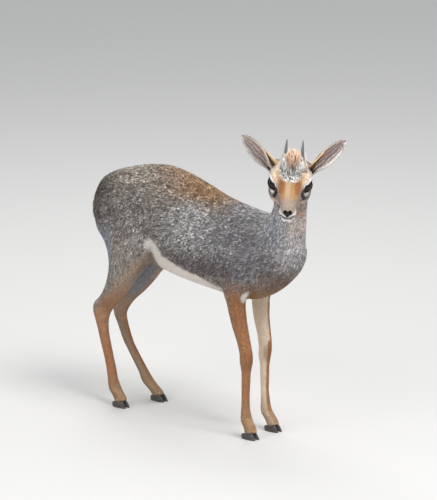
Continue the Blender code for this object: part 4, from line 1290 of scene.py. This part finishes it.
def ear_colours(share, turn, medial):
    """Colours of the inner and outer side of an ear at a place on its shell."""
    glow = math.exp(-((medial - 0.08) / 0.16) ** 2) * math.exp(-((share - 0.44) / 0.15) ** 2)
    inner = blend(np.array((0.43, 0.340, 0.335)), glow * 0.85, (0.60, 0.26, 0.16))
    stripe = 0.5 + 0.5 * math.cos(turn * 19 + share * 3 + math.sin(share * 17))
    inner *= 0.60 + 0.58 * stripe
    # Painted shade deep in the hollow at the foot of the ear.
    pocket_shade = ramp(share, 0.34, 0.14) * ramp(abs(turn), 1.0, 0.7)
    inner = blend(inner, pocket_shade * 0.88, (0.05, 0.035, 0.03))
    # Painted shade: the inner margin of the ear's lower half dark brown, where the ear's base lies
    # in shadow.
    flap_shade = ramp(medial, 0.50, 0.68) * ramp(share, 0.50, 0.38)
    inner = blend(inner, flap_shade * 0.85, (0.17, 0.095, 0.05))
    seam = math.exp(-((medial - 0.86) / 0.06) ** 2) * ramp(share, 0.3, 0.45)
    inner = blend(inner, seam * 0.8, (0.12, 0.10, 0.10))
    edge = ramp(abs(turn), 0.86, 0.97)
    outer = blend(np.array((0.40, 0.345, 0.29)), edge * 0.7, (0.72, 0.62, 0.50))
    return blend(inner, edge, (0.84, 0.77, 0.70)), outer


def ear_sheet():
    """Triangles of a shell: its inner side, its outer side and the rim between them."""
    grid = np.arange(EAR_ROWS * EAR_COLUMNS).reshape(EAR_ROWS, EAR_COLUMNS)
    corners = (grid[:-1, :-1], grid[:-1, 1:], grid[1:, 1:], grid[1:, :-1])
    quads = np.stack(corners, axis=-1).reshape(-1, 4)
    sheet = np.concatenate((quads[:, (0, 1, 2)], quads[:, (0, 2, 3)]))
    border = np.concatenate((grid[0, :], grid[1:, -1], grid[-1, -2::-1], grid[-2:0:-1, 0]))
    after = np.roll(border, -1)
    rim = np.concatenate((np.stack((border, border + grid.size, after + grid.size), 1),
                          np.stack((border, after + grid.size, after), 1)))
    return np.concatenate((sheet, sheet[:, ::-1] + grid.size, rim))


def ear_point(side, share, span, wrap, turn):
    """A place on the ear's shell and the way its inner side faces."""
    root, tip = ear_ends(side)
    axis = (tip - root).normalized()
    facing = mirrored(EAR_FACING, side)
    facing = (facing - axis * facing.dot(axis)).normalized()
    across = axis.cross(facing)
    radius = span / wrap
    angle = wrap * turn
    back = root.lerp(tip, share) - facing * 0.006 * math.sin(math.pi * share)
    out = (across * math.sin(angle) + facing * (1 - math.cos(angle))) * radius
    return back + out, facing * math.cos(angle) - across * math.sin(angle)


def make_ears():
    """Thin cupped ears: bare ribs inside, hair round the edges."""
    tris = ear_sheet()
    for side, hand in SIDES:
        inner, outer, colours, facts = [], [], [], []
        for share, span, wrap in spline(EAR_SHELL, EAR_ROWS):
            for j in range(EAR_COLUMNS):
                turn = j / (EAR_COLUMNS - 1) * 2 - 1
                point, inward = ear_point(side, share, span, wrap, turn)
                rib = 0.0007 * math.cos(turn * 9.5)
                rib = rib * math.sin(math.pi * min(share * 1.15, 1)) ** 0.7
                thick = 0.0011 * (1 - 0.55 * abs(turn) ** 4)
                inner.append(point + inward * (thick * 0.5 + rib * (1 - abs(turn) ** 3)))
                outer.append(point - inward * thick * 0.5)
                facts.append((share, turn, -turn * side))
                colours.append(ear_colours(*facts[-1]))
        points = np.array([(HEAD @ point)[:] for point in inner + outer])
        ear = mesh_of("ear_shell_" + hand, points, tris[:, ::-side])
        rework(ear.data, bmesh.ops.recalc_face_normals)
        colour_points(ear.data, np.concatenate(list(zip(*colours))))
        facts = np.array(facts)
        place = np.column_stack((0.25 * facts[:, 0], 0.2 * (facts[:, 1] + 1)))
        spots = np.concatenate((place, place + (0.3, 0.0))) * 0.9
        spots = spots + (0.02, 0.02 + (0.45 if side > 0 else 0.0))
        set_bake_map(ear.data, spots[read(ear.data.loops, "vertex_index")])
        finish(ear, COAT)
        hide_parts("ear_" + hand)
        draw = np.random.default_rng(23 if side > 0 else 29)
        ear_hair(side, hand, points, facts, spots, draw)
        ear_lock(side, hand, spots[3], draw)


def ear_hair(side, hand, points, facts, spots, draw):
    """Pale hair along the ear's edges and inner face, short grizzled hair on its back."""
    share, turn, medial = facts.T
    count = len(facts)
    inner = points[:count]
    outward = unit(inner - points[count:])
    root, tip = ear_ends(side)
    axis = np.array(HEAD.to_3x3() @ (tip - root).normalized())
    inside = np.arange(count) - (np.sign(turn) * 6).astype(int)
    across = unit(inner[np.clip(inside, 0, count - 1)] - inner)
    ridge = np.cos(turn * 19 + share * 3 + np.sin(share * 17)) > 0.15
    groups = []
    # Tries, share of the length, where across, 1 for the outer side, lean in and out, tufts'
    # length, width and lift, colour, grizzle
    for number, low, high, wanted, back, lean, rise, length, width, lift, colour, rough in (
            (9000, -1, 0.95, np.abs(turn) < 0.90, 1, 0.25, 0.0,
             0.0040, 0.0008, 0.0003, (0.43, 0.37, 0.315), 0.55),
            (9000, 0.10, 0.93, ridge & (np.abs(medial - 0.08) > 0.13), 0, 0.0, 0.12,
             0.0050, 0.0005, 0.0007, (0.74, 0.62, 0.58), 0.50),
            (31000, 0.04, 0.93, medial < -0.86, 0, 0.5, 0.0,
             0.0058, 0.0005, 0.0011, (0.86, 0.81, 0.77), 0.25),
            (16000, 0.04, 0.97, medial > 0.90, 0, 0.12, 0.0,
             0.0032, 0.0004, 0.0004, (0.90, 0.83, 0.73), 0.10)):
        pick = draw.integers(0, count, number)
        pick = pick[(wanted & (share > low) & (share < high))[pick]]
        size = len(pick)
        spot = pick + back * count
        normal = outward[pick] * (1 - 2 * back)
        stir = draw.normal(0, 0.0005, (size, 3))
        root = points[spot] + stir - normal * (np.sum(stir * normal, axis=1) - 0.0002)[:, None]
        room = np.clip((0.985 - share[pick]) / 0.14, 0.12, 1)
        flow = on_surface(axis + across[pick] * lean + outward[pick] * rise, normal)
        sizes = (length * room * draw.uniform(0.7, 1.3, size), width * draw.uniform(0.8, 1.2, size),
                 lift * draw.uniform(0.6, 1.2, size))
        groups.append((root, normal, flow, *sizes, np.tile(colour, (size, 1)), np.full(size, rough),
                       spots[spot]))
    *shape, colour, grizzle, where = (np.concatenate(column) for column in zip(*groups))
    made = tuft_arrays(*shape, (0.0,))
    tint = tuft_colours(colour, grizzle, made[2], draw)
    tuft_objects("ear_hair_" + hand, made, tint, grizzle, where)


def ear_lock(side, hand, spot, draw):
    """Tan hair that rises from the ear's root along its front edge, darkened at the foot as painted
    shade.
    """
    top = np.array((-0.0235, 0.0250 * side + 0.0031, 0.0222))
    foot = np.array((-0.0235, 0.0318 * side + 0.0030, 0.0085 + 0.004 * side))
    point = np.array((-0.0330, 0.0470 * side + 0.0036, 0.0424 + 0.0032 * side))
    low = np.abs(draw.normal(0, 0.42, EAR_LOCK_HAIRS)) % 1.0
    share = draw.uniform(0, 1, EAR_LOCK_HAIRS) ** 1.3 * 0.74
    line = top + (foot - top) * low[:, None]
    way = point - line
    start = line + way * (share - 0.06)[:, None]
    stir = draw.normal(0, 0.00045, EAR_LOCK_HAIRS) * (1 - share)
    start += np.array((0.711, 0.006, 0.703)) * stir[:, None]
    reach = share + draw.uniform(0.24, 0.40, EAR_LOCK_HAIRS)
    reach = np.minimum(reach, draw.uniform(0.90, 1.0, EAR_LOCK_HAIRS))
    end = line + way * reach[:, None] + draw.normal(0, 0.00058, way.shape)
    bend = (start + end) / 2 + draw.normal(0, 0.0004, way.shape)
    made = strands([from_head(group) for group in (start, bend, end)],
                   draw.uniform(0.00024, 0.00042, EAR_LOCK_HAIRS), draw)
    # Painted shade: the strands rooted lower are dark brown, as the lock's underside lies in
    # shadow.
    tint = blend(np.array((0.86, 0.62, 0.36)), step(low, 0.16, 0.42), (0.13, 0.068, 0.032))
    tint = tuft_colours(tint, 0.42, made[2], draw)
    tuft_objects("ear_lock_" + hand, made, tint, 0.2, spot)


def crest_locks(draw):
    """Feet and tips of the crest's locks in the head frame, gathered in clumps."""
    reach = np.sqrt(draw.uniform(0, 1, CREST_LOCKS))
    turn = draw.uniform(0, 2 * math.pi, CREST_LOCKS)
    way = np.column_stack((np.cos(turn), np.sin(turn), np.zeros(CREST_LOCKS)))
    base = CREST_PLACE + way * reach[:, None] * CREST_FOOT
    tip = CREST_PLACE + way * reach[:, None] * CREST_SIZE
    full = CREST_SIZE[2] * np.maximum(1 - 0.25 * reach ** 2 - 0.80 * reach ** 4, 0.20)
    short = draw.uniform(0, 1, CREST_LOCKS) < 0.45
    full = np.where(short, full * draw.uniform(0.35, 0.95, CREST_LOCKS), full)
    tip[:, 2] = CREST_PLACE[2] + full - draw.uniform(0, 0.0030, CREST_LOCKS)
    tip[:, :2] += way[:, :2] * (short * 0.0012)[:, None]
    tip[:, :2] += draw.normal(0, 0.0009, (CREST_LOCKS, 2))
    centre = draw.integers(0, CREST_LOCKS, CREST_CLUMPS)
    apart = np.linalg.norm(base[:, None, :2] - base[None, centre, :2], axis=2)
    clump = np.argmin(apart, axis=1)
    lean = tip[centre][:, :2] + draw.normal(0, 0.0014, (CREST_CLUMPS, 2))
    tip[:, :2] += 0.62 * (lean[clump] - tip[:, :2])
    tip[:, 2] -= draw.uniform(0, 0.0030, CREST_CLUMPS)[clump]
    return base, tip


def clear_of_horns(places, room):
    """Moves places of the scene out to a distance from the middle lines of the horns."""
    for side, _ in SIDES:
        root, tip = (np.array((HEAD @ end)[:]) for end in horn_ends(side))
        axis = tip - root
        share = np.clip((places - root) @ axis / (axis @ axis), 0, 1)
        away = places - (root + share[:, None] * axis)
        gap = np.linalg.norm(away, axis=1)
        near = gap < room
        places[near] += away[near] / gap[near, None] * (room - gap[near])[:, None]


def crest_colours(points, along, draw):
    """Orange tips over feet of grizzled white, with a dark diamond in front."""
    count = len(points)
    height, out = points[:, :, 2], np.abs(points[:, :, 1] - CREST_PLACE[1])
    colour = np.tile((0.49, 0.335, 0.25), (*height.shape, 1))
    colour = blend(colour, step(height, 0.044, 0.052), (0.67, 0.46, 0.325))
    colour = blend(colour, step(height, 0.052, 0.064), (0.78, 0.61, 0.46))
    line = 0.0420 + 1.9 * np.maximum(out - 0.0085, 0) + draw.normal(0, 0.0034, count)[:, None]
    pale = draw.uniform(0, 1, count) < 0.72 + 0.16 * (out[:, 0] > 0.011)
    grey = np.where(pale[:, None], (0.90, 0.87, 0.84), (0.13, 0.115, 0.11))
    colour = blend(colour, 1 - step(height, line - 0.001, line + 0.002), grey[:, None, :])
    flat = points.reshape(-1, 3) * (0, 1, 1)
    diamond = blob(flat, (0, 0.0030, 0.0395), (1, 0.0032, 0.0036), 0.25).reshape(count, -1)
    diamond = diamond * (points[:, :, 0] > -0.006)
    colour = blend(colour, 0.85 * diamond, (0.09, 0.085, 0.095))
    colour *= np.exp(draw.normal(0, 0.14, count))[:, None, None]
    # Painted shade: each lock darker towards its root, where the other locks shade it.
    colour *= (0.86 + 0.14 * along)[None, :, None]
    return np.clip(colour, 0.01, 0.97)


def make_crest(skin, charts):
    """The tuft between the horns: thin locks that rise and spread, orange over grizzled white."""
    draw = np.random.default_rng(41)
    tree = tree_of(skin.data)
    base, tip = crest_locks(draw)
    matrix = np.array(HEAD)
    up = HEAD_AXES[:, 2]
    roots, spots, kept = [], [], []
    for i in range(CREST_LOCKS):
        start = (matrix @ np.append(base[i] + (0, 0, 0.05), 1))[:3]
        place, _, face, _ = tree.ray_cast(Vector(start), Vector(-up))
        if place is not None:
            roots.append(place[:])
            spots.append(charts.at(np.array([place[:]]), charts.chart[[face]])[0])
            kept.append(i)
    roots = np.array(roots) - up * 0.001
    tips = from_head(tip[kept])
    clear_of_horns(tips, 0.0034)
    clear_of_horns(roots, 0.0056)
    count = len(roots)
    knees = roots + up * np.linalg.norm(tips - roots, axis=1)[:, None] * 0.45
    knees += draw.normal(0, 0.0010, knees.shape)
    made = strands((roots, knees, tips), draw.uniform(0.00036, 0.00066, count), draw,
                   (0.0, 0.25, 0.5, 0.75))
    colour = crest_colours(in_head(made[0]).reshape(count, -1, 3), made[2], draw)
    tuft_objects("crest_hair", made, colour, 0.35, np.array(spots))
    for side, hand in SIDES:
        horn_hair(side, hand, spots[0], draw)


def horn_hair(side, hand, spot, draw):
    """A sleeve of pale hair round the foot of a horn."""
    root, tip = (np.array(end) for end in horn_ends(side))
    axis = (tip - root) / np.linalg.norm(tip - root)
    across = unit(np.cross(axis, (1.0, 0, 0))[None])[0]
    turn = draw.uniform(0, 2 * math.pi, HORN_HAIRS)
    drift = turn + draw.normal(0, 0.35, HORN_HAIRS)
    low_way, high_way = (np.cos(a)[:, None] * across + np.sin(a)[:, None] * np.cross(axis, across)
                         for a in (turn, drift))
    spread = 0.0245 if side > 0 else 0.0310
    high = 0.0065 + spread * draw.uniform(0, 1, HORN_HAIRS) ** 1.9
    loose = draw.uniform(0.0003, 0.0026, HORN_HAIRS) * (1.25 - high / 0.038)
    radius = HORN_RADIUS * (1 - high / 0.048) ** HORN_TAPER
    start = root + low_way * draw.uniform(0.0046, 0.0098, HORN_HAIRS)[:, None] - axis * 0.0035
    end = root + high_way * (radius + loose)[:, None] + axis * high[:, None]
    end += draw.normal(0, 0.0006, end.shape)
    bend = (start + end) / 2 + low_way * 0.0014 + draw.normal(0, 0.0006, end.shape)
    made = strands([from_head(group) for group in (start, bend, end)],
                   draw.uniform(0.00022, 0.00042, HORN_HAIRS), draw)
    pale = draw.uniform(0, 1, HORN_HAIRS) < 0.84
    tint = np.where(pale[:, None], (0.84, 0.76, 0.67), (0.24, 0.20, 0.17))
    tint = tuft_colours(tint, 0.25, made[2], draw)
    tuft_objects("horn_hair_" + hand, made, tint, 0.2, spot)


def claw_rings(low, high, outward):
    """Sections of a pointed claw from the sole up, round on the side that faces outward."""
    length, wide = high.x - low.x, high.y - low.y
    middle_x = (low.x + high.x) / 2
    rings = []
    for rise in (0.0, 0.02, 0.15, 0.3, 0.45, 0.6, 0.75, 0.9, 1.0):
        shrink = 1 - 0.13 * rise - 0.17 * rise ** 4 - (0.03 if rise == 0 else 0)
        ripple = 1 + 0.012 * math.sin(rise * 30)
        ring = []
        for i in range(48):
            angle = 2 * math.pi * i / 48
            along = math.cos(angle)
            across = math.sin(angle) * (1 - 0.30 * max(along, 0) ** 1.5)
            x = middle_x - 0.0045 * rise + along * shrink * ripple * length / 2
            out = wide / 2 * (1 + across * outward * (1 - 0.10 * rise) * 0.985)
            y = (low.y if outward > 0 else high.y) + outward * out
            top = 0.0080 + 0.0055 * ((x - middle_x) / length + 0.5)
            ring.append(Vector((x, y, rise * top)))
        rings.append(ring)
    return rings


def make_hooves(skin):
    """Two pointed claws to a foot, worn and dark, with small false hooves behind."""
    tree = tree_of(skin.data)
    lean = Matrix.Rotation(math.radians(24), 4, "Y")
    for foot in ("fore_right", "fore_left", "hind_right", "hind_left"):
        bm = bmesh.new()
        middle_y = sum(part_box(f"hoof_{foot}_{which}")[k].y
                       for which in ("inner", "outer") for k in (0, 1)) / 4
        outer_name, inner_name = "hoof_" + foot + "_outer", "hoof_" + foot + "_inner"
        side = 1 if foot.endswith("left") else -1
        for name, outward in ((outer_name, side), (inner_name, -side)):
            low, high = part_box(name)
            join(bm, loft(claw_rings(low, high, outward)))
        for out in (-0.0046, 0.0046):
            behind = Vector((low.x - 0.03, middle_y + out, 0.0300))
            heel = tree.ray_cast(behind, Vector((1, 0, 0)))[0]
            if heel is not None:
                place = heel + Vector((0.0002, 0, 0))
                join(bm, ellipsoid(place, (0.0016, 0.0014, 0.0030), lean, 16))
        obj = finish(from_bmesh(bm, "claws_" + foot), HOOF)
        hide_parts(outer_name, inner_name)


# Stage

def make_stage():
    """A pale floor, soft light and the camera at the photograph's angle."""
    bm = bmesh.new()
    bmesh.ops.create_circle(bm, cap_ends=True, segments=96, radius=14.0)
    floor = from_bmesh(bm, "floor")
    made, _, shader = material("floor", 0.85, 0.2)
    shader.inputs["Base Color"].default_value = (0.54, 0.53, 0.515, 1)
    floor.data.materials.append(made)

    world = bpy.data.worlds.new("soft_sky")
    bpy.context.scene.world = world
    world.use_nodes = True
    sky = world.node_tree.nodes["Background"]
    sky.inputs["Color"].default_value = (0.93, 0.96, 1.0, 1)
    sky.inputs["Strength"].default_value = SKY_STRENGTH

    azimuth, elevation = math.radians(VIEW_AZIMUTH), math.radians(VIEW_ELEVATION)
    right = Vector((math.cos(azimuth), math.sin(azimuth), 0))
    back = Vector((math.sin(azimuth) * math.cos(elevation),
                   -math.cos(azimuth) * math.cos(elevation), math.sin(elevation)))
    for name, behind, across, height, size, power in LAMPS:
        lamp = bpy.data.lights.new(name, "AREA")
        lamp.size = size
        lamp.energy = power
        obj = link(lamp, name)
        place = back * behind + right * across + Vector((0, 0, height))
        obj.location = VIEW_TARGET + Vector((0, 0, 0.25)) + place
        obj.rotation_euler = (-place).to_track_quat("-Z", "Y").to_euler()

    lens = bpy.data.cameras.new("camera")
    lens.sensor_width = 36.0
    lens.lens = VIEW_LENS
    lens.clip_end = 60.0
    camera = link(lens, "camera")
    camera.location = VIEW_TARGET + back * VIEW_DISTANCE
    aim = VIEW_TARGET - right * AIM_LEFT + back.cross(right) * AIM_UP
    camera.rotation_euler = (aim - camera.location).to_track_quat("-Z", "Y").to_euler()
    bpy.context.scene.camera = camera
    bpy.context.scene.view_settings.view_transform = "Standard"


def make_skin():
    """The skin in one piece, inside the coat, with its charts, parts and lie of the hair."""
    skin = body_skin()
    boolean(skin, head_skin(), "UNION", "MANIFOLD")
    skin.name = "skin"
    points, _, normals = arrays(skin.data)
    first, second = edges_of(skin.data)
    points = points - normals * averaged(coat_depth(points)[:, None], first, second, 8)
    seam = np.abs((points - THROAT) @ HEAD_SIDE + 0.010)
    near = (step(seam, 0.030, 0.016) * (points[:, 0] > 0.135))[:, None]
    set_points(skin.data, points + near * (averaged(points, first, second, 30, 0.6) - points))
    cut_face(skin)
    in_order(skin)
    rework(skin.data, bmesh.ops.triangulate)
    points, tris, normals = arrays(skin.data)
    first, second = edges_of(skin.data)
    flow = lie_of_coat(points, part_of(points))
    for _ in range(6):
        flow = on_surface(averaged(flow, first, second, 5), normals)
    part = part_of(points[tris].mean(1))
    charts = Charts(points, tris, part)
    paint = markings_and_painted_light(points, normals)
    # The skin under the coat takes the colours a little darker, as painted shade beneath the hair.
    colour_points(skin.data, np.clip(paint.colour * 0.88, 0, 1), paint.grizzle)
    places = np.stack([charts.at(points[tris[:, k]], charts.chart) for k in range(3)], axis=1)
    laid = np.empty((len(skin.data.loops), 2))
    laid[read(skin.data.loop_triangles, "loops", 3)] = places.reshape(-1, 2)
    set_bake_map(skin.data, laid)
    finish(skin, COAT, BARE)
    face = read(skin.data.loop_triangles, "polygon_index")
    kinds = np.zeros(len(skin.data.polygons), np.int32)
    kinds[face[paint.bare[tris].mean(1) > 0.5]] = 1
    skin.data.polygons.foreach_set("material_index", kinds)
    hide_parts(*FLESH)
    return skin, charts, part, flow


COAT = coat_material("coat", 0.80, 0.0005)
BARE = coat_material("bare_skin", 0.36, 0.0007)
RIM = noise_material("lid_rim", (0.008, 0.006, 0.006), (0.02, 0.016, 0.015), 600, 0.35)
HORN = noise_material("horn", (0.055, 0.06, 0.075), (0.17, 0.18, 0.21), 160, 0.42, (1, 1, 0.2), 0.4)
HOOF = noise_material("hoof", (0.022, 0.020, 0.020), (0.075, 0.068, 0.062), 260, 0.5,
                      (1, 1, 2.5), 0.4)
EYE = eye_material()

skin, charts, part, flow = make_skin()
make_coat(skin, charts, part, flow)
make_crest(skin, charts)
make_ears()
make_eyes()
make_horns()
make_hooves(skin)
make_stage()
